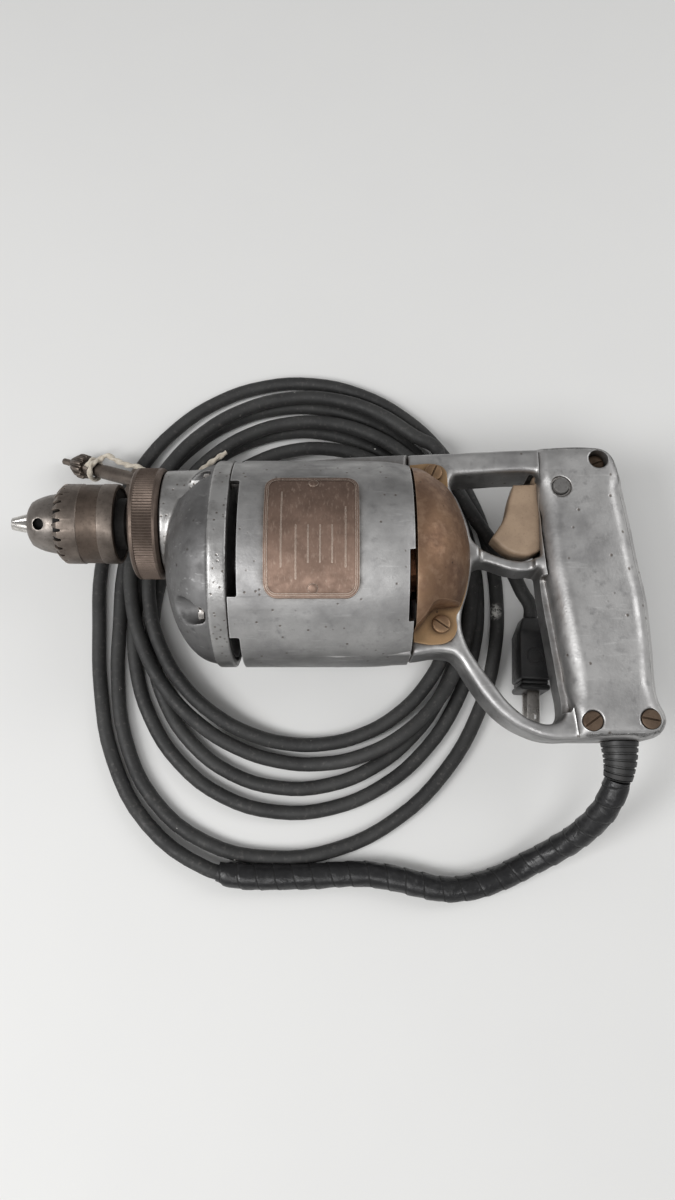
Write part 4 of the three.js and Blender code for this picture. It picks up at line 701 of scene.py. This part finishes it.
def cords(plug):
    tail = [beyond(*COIL_POINTS[:-3:-1], 4 * CORD), *TAIL_PATH, plug_place(0, 7.6, 0), plug_place(0, -0.5, 0)]
    route = LEAD_PATH + COIL_POINTS + tail
    cord = line_of("rubber_cord", route, CORD, 16, 4)
    cord.data.materials.append(FINISHES["cord_rubber"])
    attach(cord, "drill")
    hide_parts("cord_coil", "cord_tail")

    tape, _ = shaped_tube("wrapped_tape", LEAD_PATH + [(-61.2, -150.7, 6.9)], TAPE, 32, 12, tape_shape)
    for vertex in tape.data.vertices:
        vertex.co.z = max(vertex.co.z, 0.0001)
    settled(tape, "tape", "taped_lead", lift=0, angle=60)

    steps, reach = 18, 5.4
    turns = [radians(35) + radians(430) * (1 - i / steps) for i in range(steps + 1)]
    wrap = [on_key(22.6 + 3.2 * i / steps, reach * cos(a), reach * sin(a)) for i, a in enumerate(turns)]
    free = [(-129.6, 73.6, 17.4), (-124.2, 70.6, 18), (-117.5, 67.4, 19), (-110.5, 65.6, 20), (-104, 61.5, 20.3),
            (-97, 57.8, 20), (-90, 56.2, 19.2), (-84, 58.2, 18.7), (-77, 63.8, 18.4), (-70, 70, 18.2),
            (-62.5, 75.5, 17.8)]
    string, path = shaped_tube("key_twine", wrap + free, TWINE, 16, 14, twine_shape)
    settled(string, "twine", "key_string", lift=0, angle=60)


# --- castings ---

CORNERS = [(44.5 * sin(radians(a)), 44.5 * cos(radians(a))) for a in (45, 135, 225, 315)]


def motor_housing():
    barrel = turned("motor_housing_casting", [
        (-49.7, BARREL), (8, BARREL), (14, 51.6), (19, 51.45), (24, 51.15), (29, 50.55), (33.5, 49.75),
        (35, 49.2)], 160)
    top = slab("top_rib", [[(-16, 46), (-13, 51.6), (0, 52.9), (35, 54.6), (35, 46)]], -12.5, 12.5, 2.2, False)
    low = slab("low_rib", [[(-14, -44), (-12, -49.6), (0, -50.2), (35, -48.9), (35, -44)]], -15, 15, 1.6, False)
    carved(barrel, top, low, how="UNION")
    bore = turned("bore", [(-52, 47.5), (24, 47.5), (24.2, 44.9), (38, 44.9)], 160)
    vents = [block("vent", (-52, -45.3), (-27.9, 27.9), (34, 56), 0.9, about_x(a)) for a in (0, 90, 180, 270)]
    notches = [block("notch", (32.5, 38), (-16.9, 16.9), (38, 56), 0.4, about_x(a)) for a in (28, 152)]
    carved(barrel, bore, joined(vents + notches))
    bevelled(barrel, 0.45, 2)
    settled(barrel, "barrel_casting", "motor_housing", slot="casting", angle=25)


def gear_housing():
    dome = [(-58.2 - 27 * sin(radians(a)), 50 * cos(radians(a))) for a in range(86, -1, -4)]
    case = turned("gear_housing_casting", dome + [(-58.2, BARREL), (-50, BARREL)], 128)
    neck = moved(turned("neck", [(-86.2, 26.3), (-85.6, 26.8), (-72, 27.2), (-60, 28.5)], 96), y=SPINDLE)
    spigot = moved(turned("spigot", [(-98.9, 21), (-84, 21)], 96), y=SPINDLE)
    carved(case, neck, spigot, how="UNION")
    outside = copied(case, "outside", Matrix())
    bosses = joined([moved(turned("boss", [(-78, 7.6), (-53, 7.6)], 40), y=y, z=z) for y, z in CORNERS])
    carved(bosses, outside, how="INTERSECT")
    inside = turned("inside", [(-77.5, 31), (-73, 37.5), (-68, 42), (-62, 44), (-55.3, 45), (-55.3, 47.2),
                               (-48, 47.2)], 96)
    neck_bore = moved(turned("neck_bore", [(-79.5, 22.6), (-60, 22.6)], 96), y=SPINDLE)
    spindle_bore = moved(turned("spindle_bore", [(-104, 14.3), (-90, 14.3), (-90, 8.5), (-76, 8.5)], 64), y=SPINDLE)
    scoops = [moved(turned("scoop", [(-84, 7.6), (-70, 6.6), (-62, 5.9), (-60.5, 5.4)], 48), y=y, z=z)
              for y, z in CORNERS]
    holes = [moved(turned("screw_hole", [(-64, 2.7), (-48, 2.7)], 24), y=y, z=z) for y, z in CORNERS]
    carved(case, inside, neck_bore, spindle_bore)
    carved(case, bosses, how="UNION")
    carved(case, joined(scoops), joined(holes))
    cast(case, 0.8)
    settled(case, "dark_casting", "gear_housing", angle=50)

    # Painted shade: the dome wears the darker copy; the neck and the flange keep a lighter casting.
    def bright(x, y, z):
        on_neck = x < -58.5 and hypot(y - SPINDLE, z - LIFT) < 28.4 + (x + 86) * 0.05
        on_flange = x > -58.7 and hypot(y, z - LIFT) > 48
        return on_neck or on_flange

    finished_partly(case, "neck_casting", bright)


# Outlines on the handle, as shares of its reach and height; the frame and the grip share the grip's back.
GRIP_BACK = [
    (0.778, 0.658), (0.832, 0.644), (0.867, 0.601), (0.888, 0.514), (0.919, 0.260), (0.945, -0.034), (0.965, -0.215),
    (0.973, -0.497), (0.972, -0.723), (0.979, -0.808), (0.998, -0.853), (1.000, -0.904), (0.981, -0.960),
    (0.941, -0.994), (0.836, -0.998)]
FRAME_OUTLINE = on_handle([
    (0.000, 0.617), (0.182, 0.628), (0.543, 0.651), *GRIP_BACK, (0.652, -1.000), (0.543, -0.999), (0.459, -0.964),
    (0.372, -0.895), (0.296, -0.789), (0.221, -0.635), (0.187, -0.563), (0.161, -0.538), (0.000, -0.551)])
FINGER_WINDOW = on_handle([
    (0.195, 0.493), (0.534, 0.511), (0.548, 0.492), (0.548, 0.014), (0.480, -0.005), (0.417, 0.005),
    (0.362, 0.029), (0.312, 0.061), (0.269, 0.097), (0.247, 0.198), (0.212, 0.333), (0.179, 0.435)])
HAND_WINDOW = on_handle([
    (0.264, -0.018), (0.312, -0.010), (0.362, -0.029), (0.417, -0.054), (0.480, -0.063),
    (0.545, -0.050), (0.552, -0.208), (0.577, -0.484), (0.597, -0.719), (0.605, -0.814),
    (0.598, -0.881), (0.560, -0.914), (0.492, -0.906), (0.402, -0.827), (0.325, -0.696),
    (0.262, -0.576), (0.221, -0.469), (0.206, -0.350), (0.237, -0.186)])
GRIP_OUTLINE = on_handle([
    (0.551, 0.651), *GRIP_BACK, (0.648, -1.000), (0.634, -0.836), (0.620, -0.719), (0.600, -0.484), (0.575, -0.208),
    (0.558, -0.045), (0.551, 0.147)])
HELD_OUTLINE = [
    (90, 80), (92, 58), (95, 47), (98.6, 39), (100.7, 31), (101, 13), (101.8, -4), (103.8, -18.4), (106.8, -42.8),
    (109, -62), (108.4, -72), (104, -82), (100, -105), (164, -105), (160, -86), (154, -73), (151.6, -64), (151.3, -44),
    (150.3, -19), (147.9, -3), (144.8, 23), (143.4, 35), (147, 48), (152, 62), (154, 80)]
RAIL_OUTLINE = [
    (92, -8.5), (103.4, -8.5), (105.4, -20), (108.6, -43), (110.8, -62), (111.6, -72), (110, -76), (92, -76)]
COVER_OUTLINE = on_handle([
    (0.008, 0.540), (0.128, 0.540), (0.157, 0.511), (0.165, 0.452), (0.167, 0.384), (0.209, 0.232),
    (0.239, 0.090), (0.246, -0.011), (0.232, -0.164), (0.202, -0.294), (0.184, -0.340),
    (0.184, -0.415), (0.158, -0.472), (0.092, -0.496), (0.008, -0.482)])
DOME_OUTLINE = on_handle([
    (0.008, 0.492), (0.046, 0.468), (0.096, 0.396), (0.157, 0.358), (0.204, 0.225), (0.234, 0.090),
    (0.241, -0.011), (0.227, -0.158), (0.194, -0.287), (0.140, -0.296), (0.081, -0.314),
    (0.044, -0.379), (0.008, -0.429)])
TRIGGER_OUTLINE = on_handle([
    (0.456, 0.459), (0.545, 0.463), (0.552, 0.531), (0.581, 0.549), (0.617, 0.514), (0.605, 0.454),
    (0.584, 0.407), (0.576, 0.226), (0.572, 0.097), (0.519, 0.041), (0.471, 0.035), (0.405, 0.069),
    (0.353, 0.140), (0.380, 0.192), (0.412, 0.263), (0.436, 0.379)])
COVER_SCREWS = on_handle([(0.105, 0.488), (0.120, -0.386)])
GRIP_SCREWS = on_handle([(0.799, 0.569), (0.699, -0.908), (0.927, -0.899)])
GRIP_SCREW_TOPS = (9.9, 17, 17)
PIVOT = on_handle([(0.581, 0.493)])[0]
BUTTON = on_handle([(0.632, 0.400)])[0]
EXIT = on_handle([(0.838, -0.998)])[0]
UP = Matrix.Rotation(radians(-90), 4, "Y")      # from along X to along Z
DOWN = Matrix.Rotation(radians(90), 4, "Y")     # from along X to along -Z
DOWN_Y = Matrix.Rotation(radians(-90), 4, "Z")  # from along X to along -Y


def post(name, profile, x, y, sides=48):
    """Turned along Z at a place on the handle; the profile gives heights and radii."""
    return moved(turned(name, profile, sides), x, y, turn=UP)


def grip_tools():
    """What both halves of the grip leave open: the hollow, the trigger's slot and the cord's way out."""
    hollow = slab("hollow", [inset(GRIP_OUTLINE, 3.5)], -13.5, 13.5, 0, False)
    slot = block("slot", (99.6, 106.6), (0.8, 44), (-7.2, 7.2), 0.8)
    swing = post("swing", [(-7.2, 7.4), (7.2, 7.4)], *PIVOT)
    way_out = moved(turned("way_out", [(78, 7.2), (84.6, 7.2), (84.7, 5.9), (92, 5.9)], 48), EXIT[0], turn=DOWN_Y)
    return [hollow, slot, swing, way_out]


def whole_grip(name):
    """Both halves in one, more rounded along the hand's part than at the ends."""
    grip = slab(name, [GRIP_OUTLINE], -17, 17, 6.5, steps=6)
    held = slab("held", [HELD_OUTLINE], -17.5, 17.5, 11.5, steps=8)
    for piece in (grip, held):
        remeshed(piece, 0.9)
    return carved(grip, held, how="INTERSECT", solver="MANIFOLD")


def handle_frame():
    arms = slab("handle_frame_casting", [FRAME_OUTLINE, FINGER_WINDOW, HAND_WINDOW], -12.5, 12.5, 2.6)
    chamber = [(HANDLE_START + 20 * cos(a), 21 * sin(a)) for a in [pi * i / 32 for i in range(64)]]
    strips = [block("strip", (70, 97), (-12, 12), side, 2) for side in ((8, 16), (-16, -8))]
    bearing_seat = turned("bearing_seat", [(50, 8.3), (62.8, 8.3)], 48)
    carved(arms, slab("chamber", [chamber], -16, 16, 0, False), joined(strips + [bearing_seat]))
    arms = cast(joined([arms, whole_grip("grip_low")]), 0.9)
    near, wide = inset(GRIP_OUTLINE, -0.3), inset(GRIP_OUTLINE, -2.5)
    above = [(near[0][0], wide[0][1])] + wide[1:16] + [(near[16][0], wide[16][1])] + near[16:] + near[:1]
    rail = remeshed(slab("rail_drop", [RAIL_OUTLINE], 4.0, 26, 2.4), 0.8)
    carved(arms, slab("upper", [above], 0, 24, 0, False), *grip_tools(), rail, solver="MANIFOLD")
    settled(arms, "casting", "handle_frame", angle=50)


def grip_cover():
    grip = cast(whole_grip("grip_cover_casting"), 0.9)
    below = block("below", (80, 180), (-110, 80), (-30, 0.3))
    bore = post("bore", [(8.5, 4.3), (16.0, 4.3), (16.1, 5.2), (16.5, 5.2), (17.4, 6.2), (22, 6.2)], *BUTTON)
    sinks = [post("sink", [(top - 2.7, 4.9), (16.4, 4.9), (17.2, 5.8), (22, 5.8)], x, y)
             for (x, y), top in zip(GRIP_SCREWS, GRIP_SCREW_TOPS)]
    carved(grip, below, *grip_tools(), bore, *sinks, solver="MANIFOLD")
    settled(grip, "casting", "grip_cover", angle=50)


def commutator_cover(name, side, node):
    """Pressed cover: a flange with two tabs and a dome that follows the barrel's end."""
    dome = slab(name, [DOME_OUTLINE], 10, 56, 0)
    bulge = turned("bulge", [(30, 48.6)] + [
        (36 + 30.5 * sin(radians(a)), 48.6 * cos(radians(a))) for a in range(0, 90, 5)], 128)
    carved(dome, bulge, how="INTERSECT")
    bevelled(dome, 2.4, 5, 40)
    inner = copied(dome, "inner", shift(-0.6, 0, -1.6) @ Matrix.Diagonal((0.985, 0.955, 0.97, 1)))
    flange = slab("flange", [COVER_OUTLINE], 12.8, 14.3, 0.3)
    below = block("below", (20, 80), (-60, 60), (0, 12.8))
    carved(dome, flange, how="UNION")
    holes = [post("hole", [(10, 2.5), (20, 2.5)], x, y, 32) for x, y in COVER_SCREWS]
    carved(dome, inner, below, joined(holes))
    bevelled(dome, 0.25, 2, 40)
    if side < 0:
        dome.data.transform(Matrix.Scale(-1, 4, (0, 0, 1)))
        dome.data.flip_normals()
    settled(dome, "cover", node, slot="bronze", angle=30)


# --- nameplate, collar, chuck ---

def nameplate():
    def pressed(name, outlines, inner, outer):
        ring = turned(name, [(-35, inner), (11, inner), (11, outer), (-35, outer), (-35, inner)], 300, True)
        return carved(ring, slab("die", outlines, 20, 60, 0, False), how="INTERSECT")

    def frame_line(outer, inner):
        return [round_box(-33.2 + d, 9.8 - d, -28.7 + d, 28.7 - d, 6 - d) for d in (outer, inner)]

    plate = pressed("nameplate_sheet", [round_box(-33.2, 9.8, -28.7, 28.7, 6)], 51.85, 53.1)
    rim = pressed("rim", frame_line(0.9, 1.7), 52.9, 53.4)
    bars = [(-18.9, -21, 3), (-13.4, -14, 3), (-8.0, -14, 3), (3.4, -16, 12), (-25.5, -16, 20), (-2.6, -14, 3)]
    rules = pressed("rules", [[(x, y0), (x + 0.45, y0), (x + 0.45, y1), (x, y1)] for x, y0, y1 in bars], 52.9, 53.25)
    rivets = []
    for side in (-1, 1):
        rivet = turned("rivet", [(49.6, 1.7), (53.1, 1.75), (53.1, 2.3), (53.5, 2.2), (53.85, 1.5), (53.95, 0.6)], 32)
        rivet.data.transform(shift(-11) @ about_x(-28 * side) @ UP)
        rivets.append(rivet)
    settled(joined([plate, rim, rules] + rivets), "plate", "nameplate", angle=30)


KNURLS = 240  # sides of the collar, every second one pressed in
JAW_TURNS = (60, -60, 180)
KEY_HOLES_AT, KEY_HOLE_TURNS = -148.2, (19, -101, -221)
TEETH = 26


def spindle_collar():
    ring = turned("knurled_collar", [
        (-101.2, 8.5), (-101.2, 26.7), (-100.8, 27.5), (-100.1, 28.2), (-98.9, 28.3), (-98.5, 28.25), (-89.4, 28.25),
        (-89.0, 28.3), (-88.0, 28.2), (-87.0, 27.5), (-86.5, 26.7), (-86.5, 21.3), (-99.3, 21.3), (-99.3, 8.5),
        (-101.2, 8.5)], KNURLS, True)
    for vertex in ring.data.vertices:
        x, y, z = vertex.co / MM
        if -98.6 < x < -89.3 and hypot(y, z) > 28:
            if round(atan2(z, y) / (2 * pi) * KNURLS) % 2:
                vertex.co = (x * MM, y * MM * 0.983, z * MM * 0.983)
    settled(moved(ring, y=SPINDLE), "bronze", "spindle_collar", angle=24)


def jaw_reach(x):
    return 3.1 + tan(radians(15)) * (x + 165.5)


def leaning(name, angle, radius, start, end, sides=40):
    """A rod that leans towards the chuck's axis at its front; the angle goes from Z towards Y."""
    lean, a = radians(15), radians(angle)
    centre = jaw_reach(start) - radius / cos(lean)
    rod = turned(name, [(0, radius), (0.4, radius), (end - start, radius)], sides)
    out = Vector((0, sin(a), cos(a)))
    along = (Vector((1, 0, 0)) * cos(lean) + out * sin(lean)).normalized()
    across = along.cross(out).normalized()
    turn = Matrix((along, across.cross(along) * -1, across)).transposed().to_4x4()
    rod.data.transform(shift(start, SPINDLE + centre * out.y, centre * out.z) @ turn)
    return rod


def chuck_body():
    body = turned("chuck_body_turned", [
        (-155.9, 5.2), (-155.9, 8.3), (-155.5, 9.3), (-154, 11.5), (-151.5, 12.8), (-149, 13.8), (-146, 14.6),
        (-143, 15.2), (-140.6, 15.3), (-136.3, 15.3), (-136.3, 10.9), (-129.7, 12.7), (-129.7, 17.9), (-110.5, 17.9),
        (-110.5, 13), (-106, 13), (-106, 6.3), (-122.3, 5.8), (-122.3, 0.4), (-138, 0.4), (-138, 5.2),
        (-155.9, 5.2)], 96, True)
    holes = [turned("key_hole", [(8.5, 3), (22, 3)], 32) for _ in KEY_HOLE_TURNS]
    for hole, turn in zip(holes, KEY_HOLE_TURNS):
        hole.data.transform(shift(KEY_HOLES_AT) @ about_x(turn) @ UP)
    ways = [moved(leaning("jaw_way", turn, 3.7, -160, -128), y=-SPINDLE) for turn in JAW_TURNS]
    carved(body, joined(holes), joined(ways))
    bevelled(body, 0.2, 2, 35)
    moved(body, y=SPINDLE)
    settled(body, "nose_steel", "chuck_body", body="spindle_body", slot="dark_steel", angle=30)

    # Painted shade: the hub in the gap behind the sleeve, the body seen between the sleeve's teeth and the key holes'
    # bores turn near black; in the gap it stands also for old grease.
    def shade_and_grease_faces(x, y, z):
        across = [hypot(x - KEY_HOLES_AT, (y - SPINDLE) * cos(radians(turn)) + (z - LIFT) * sin(radians(turn)))
                  for turn in KEY_HOLE_TURNS]
        in_hole = min(across) < 3.1 and 7 < hypot(y - SPINDLE, z - LIFT) < 12.9
        return x > -118 or -141.2 < x < -133.9 or in_hole

    finished_partly(body, "shade_and_grease", shade_and_grease_faces)


def chuck_sleeve():
    sleeve = turned("chuck_sleeve_turned", [
        (-140.6, 15.7), (-140.6, 17.0), (-139.0, 18.8), (-137.4, 20.2), (-136.6, 20.3), (-128.3, 20.3), (-128.0, 20.0),
        (-118.0, 20.0), (-117.7, 20.3), (-111.0, 20.3), (-110.3, 20.0), (-110, 19.3), (-110, 18.2), (-130, 18.2),
        (-130, 12.9), (-136, 11.3), (-136, 18.2), (-137, 18.2), (-137, 15.7), (-140.6, 15.7)], 156, True)
    space = slab("tooth_space", [[(-143.6, 2.05), (-135.4, 0.6), (-135.4, -0.6), (-143.6, -2.05)]], 12, 24, 0, False)
    spaces = [copied(space, "tooth_space_copy", about_x(360 * i / TEETH)) for i in range(TEETH)]
    bpy.data.objects.remove(space)
    carved(sleeve, joined(spaces))
    bevelled(sleeve, 0.22, 2, 32)
    settled(moved(sleeve, y=SPINDLE), "dark_steel", "chuck_sleeve", body="sleeve", angle=30)
    finished_partly(sleeve, "band_steel",
                    lambda x, y, z: -128.05 < x < -117.95 and hypot(y - SPINDLE, z - LIFT) > 19)


def jaws():
    far = 60
    for i, angle in enumerate(JAW_TURNS):
        jaw = leaning(f"jaw_rod_{i + 1}", angle, 3.4, -170, -133)
        turn = radians(angle)
        wedge = [(SPINDLE + r * sin(turn + t) + 0.17 * sin(turn), r * cos(turn + t)
                  + 0.17 * cos(turn)) for r, t in ((0, 0), (far, -pi / 3), (far, 0), (far, pi / 3))]
        cutter = slab("wedge", [wedge], -165.5, -133, 0, False)
        cutter.data.transform(Matrix(((0, 0, 1, 0), (1, 0, 0, 0), (0, 1, 0, 0), (0, 0, 0, 1))))
        carved(jaw, cutter, how="INTERSECT")
        bevelled(jaw, 0.12, 2, 35)
        settled(jaw, "jaw_steel", f"jaw_{i + 1}", body=("first_jaw", "second_jaw", "third_jaw")[i], slot="steel")


# --- trigger, button, screws ---

def trigger():
    lever = slab("trigger_lever", [TRIGGER_OUTLINE], -6.5, 6.5, 2.0)
    hole = post("pin_hole", [(-9, 1.9), (1.9, 1.9), (1.95, 4.6), (9, 4.6)], *PIVOT)
    carved(lever, hole)
    settled(lever, "tan_plastic", "trigger", body="trigger_body", angle=40)


def lock_button():
    button = post("lock_button_turned", [(6.8, 1.8), (14.5, 1.8), (14.5, 4), (17.4, 4), (18.0, 3.7), (18.2, 3.1)],
                  *BUTTON)
    bevelled(button, 0.15, 2, 40)
    settled(button, "button", "lock_button", body="lock", slot="grey_plastic")


def screw(name, head, height, shank, length):
    """Slotted screw along X with the top of its head at zero."""
    blank = turned(name, [(-length, shank), (-height, shank), (-height, head - 0.15), (-height + 0.2, head),
                          (-0.55, head), (-0.25, head * 0.95), (-0.08, head * 0.8), (0, head * 0.55)], 48)
    carved(blank, block("driver_slot", (-0.9, 1), (-0.5, 0.5), (-head - 1, head + 1)))
    return bevelled(blank, 0.12, 2, 35)


def screws():
    """Three sizes of slotted screw, each copied to its places: middle of the head, direction and turn."""
    inwards = Matrix.Rotation(pi, 4, "Z")
    cover_places = [((x, y, side * 16.8), way) for x, y in COVER_SCREWS for side, way in ((1, UP), (-1, DOWN))]
    grip_places = [((x, y, top), UP) for (x, y), top in zip(GRIP_SCREWS, GRIP_SCREW_TOPS)]
    case_places = [((-63.8, y, z), inwards) for y, z in CORNERS]
    for kind, node, finish, sizes, places, turns in (
            ("cover", "cover_screw", "brass", (4.3, 2.2, 2.2, 12.3), cover_places, (65, 105, 145, 185)),
            ("grip", "grip_screw", "rusty_steel", (4.6, 2.4, 2.3, 17), grip_places, (20, 35, -12)),
            ("case", "gear_housing_screw", "steel", (4.3, 3.0, 2.4, 23), case_places, (15, 65, 115, 165))):
        model = screw(f"{kind}_screw_model", *sizes)
        for i, ((place, way), turn) in enumerate(zip(places, turns)):
            copy = copied(model, f"slotted_{kind}_screw_{i + 1}", shift(*place) @ way @ about_x(turn))
            settled(copy, finish, f"{node}_{i + 1}")
        bpy.data.objects.remove(model)


# --- strain relief, plug, key ---

def relief_shape(along, angle, length):
    """A collar inside the wall of the grip, its neck, and a taper with six ribs."""
    outside = along - 5.9
    if outside < 0:
        return 6.9 if along < 1.5 else 5.6
    groove = 0.7 if along < length - 1 and outside % 2.9 > 2.1 else 0.0
    return 9 - 2.2 * outside / 17.2 - groove - 0.8 * (1 - eased((length - along) / 0.8))


def strain_relief():
    """It droops a little with the lead; the lead inside the grip runs through it."""
    relief, _ = shaped_tube("strain_relief_sleeve", RELIEF_PATH, 7, 48, 20, relief_shape)
    bore = line_of("relief_bore", [(135.2, -78, LIFT)] + RELIEF_PATH + [beyond(*map(Vector, RELIEF_PATH[:-3:-1]), 3)],
                   4.1, 24, 12)
    lead = line_of("inner_lead", INNER_LEAD + RELIEF_PATH, CORD, 16, 8)
    carved(relief, as_mesh(bore, bore.name), solver="MANIFOLD")
    settled(as_mesh(lead, lead.name), "cord_rubber", "cord_inside_grip", lift=0)
    settled(relief, "black_rubber", "cord_bushing", lift=0, angle=30)


def plug():
    body = block("plug_moulding", (-8, 8), (-39.8, -9), (-12, 12))
    editing(body)
    bpy.ops.mesh.select_all(action="DESELECT")
    bpy.ops.object.mode_set(mode="OBJECT")
    for face in body.data.polygons:
        face.select = face.normal.y > 0.9
    bpy.ops.object.mode_set(mode="EDIT")
    bpy.ops.mesh.extrude_region_move(TRANSFORM_OT_translate={"value": (0, 0.009, 0)})
    bpy.ops.transform.resize(value=(0.675, 1, 0.5), center_override=(0, 0, 0))
    bpy.ops.object.mode_set(mode="OBJECT")
    waist = block("waist", (-9, 9), (-36.6, -34.6), (-13, 13))
    core = block("core", (-7.1, 7.1), (-37, -34), (-11.1, 11.1))
    carved(body, waist)
    body = joined([body, core])
    bevelled(body, 1.5, 4, 25)
    mark = post("ring_mark", [(11.8, 4.6), (12.0, 4.6), (12.25, 4.4), (12.25, 3.7), (12.0, 3.5), (11.8, 3.5)], 0, -22)
    neck_rings = [moved(turned("neck_ring", [(0.6 + 2.4 * i, 4.2), (0.9 + 2.4 * i, 5.3), (1.9 + 2.4 * i, 5.3),
                                             (2.2 + 2.4 * i, 4.2)], 32), turn=DOWN_Y) for i in range(2)]
    body = joined([body, mark] + neck_rings)
    place = shift(*PLUG_AT) @ Matrix.Rotation(PLUG_TURN, 4, "Z")
    body.data.transform(place)
    settled(body, "black_plastic", "plug", lift=0, angle=40)
    for i, level in enumerate((-6.35, 6.35)):
        blade = block(f"plug_blade_{i + 1}", (-3.15, 3.15), (-56.8, -36), (level - 0.75, level + 0.75), 0.35)
        hole = post("blade_hole", [(level - 3, 1.5), (level + 3, 1.5)], 0, -53.2, 32)
        carved(blade, hole)
        blade.data.transform(place)
        settled(blade, "steel", lift=0)
        blade.parent = body
        blade.matrix_parent_inverse = body.matrix_world.inverted()
    return body


def chuck_key():
    head = turned("chuck_key_forged", [(7.6, 3.4), (8.4, 4), (13.2, 6.8), (14.2, 7), (17, 7), (18, 6.6)], 88)
    for vertex in head.data.vertices:
        x, y, z = vertex.co / MM
        turn = atan2(z, y) / (2 * pi) * 11 % 1
        share = 0.80 + 0.20 * eased((abs(turn - 0.5) - 0.13) / 0.16)
        vertex.co = (x * MM, y * MM * share, z * MM * share)
    bevelled(head, 0.2, 2, 40)
    pilot = turned("pilot", [(0, 1.3), (0.6, 1.8), (8.5, 1.9)], 32)
    shank = turned("shank", [(17, 4), (19, 4), (20, 3.7), (30, 3.7), (31, 4), (56, 4), (57, 3.2)], 40)
    bar = turned("bar", [(-6, 1.6), (-5.6, 2.3), (-5, 2.5), (37, 2.5), (37.7, 2.2), (38, 1.6)], 32)
    bar.data.transform(shift(52) @ about_x(10) @ Matrix.Rotation(-pi / 2, 4, "Z"))
    key = joined([head, pilot, shank, bar])
    key.data.transform(KEY_PLACE)
    settled(key, "dark_steel", "chuck_key", lift=0)


# --- inner pieces that keep their shape ---

INNER = {
    "laminate": ["field_core", "armature_core"],
    "copper": ["field_coils", "armature_winding", "commutator"],
    "steel": ["armature_front_bearing", "armature_rear_bearing", "spindle_front_bearing", "spindle", "spindle_gear",
              "side_shaft", "armature_shaft", "brush_spring_left", "brush_spring_right", "trigger_pin",
              "trigger_spring", "lock_spring"],
    "brass": ["spindle_rear_bearing", "brush_holder_left", "brush_holder_right"],
    "carbon": ["carbon_brush_left", "carbon_brush_right"],
    "casting": ["gear_plate", "cooling_fan"],
    "black_plastic": ["switch_body"], "grey_plastic": ["switch_plunger"],
}


def inner_pieces():
    for finish, nodes in INNER.items():
        for node in nodes:
            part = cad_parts[node]
            part.data.materials.clear()
            part.data.materials.append(FINISHES[finish])


photo_camera()
studio()
cords(plug())
motor_housing()
gear_housing()
handle_frame()
grip_cover()
commutator_cover("commutator_cover_pressed_left", 1, "commutator_cover_left")
commutator_cover("commutator_cover_pressed_right", -1, "commutator_cover_right")
nameplate()
spindle_collar()
chuck_body()
chuck_sleeve()
jaws()
trigger()
lock_button()
screws()
strain_relief()
chuck_key()
inner_pieces()
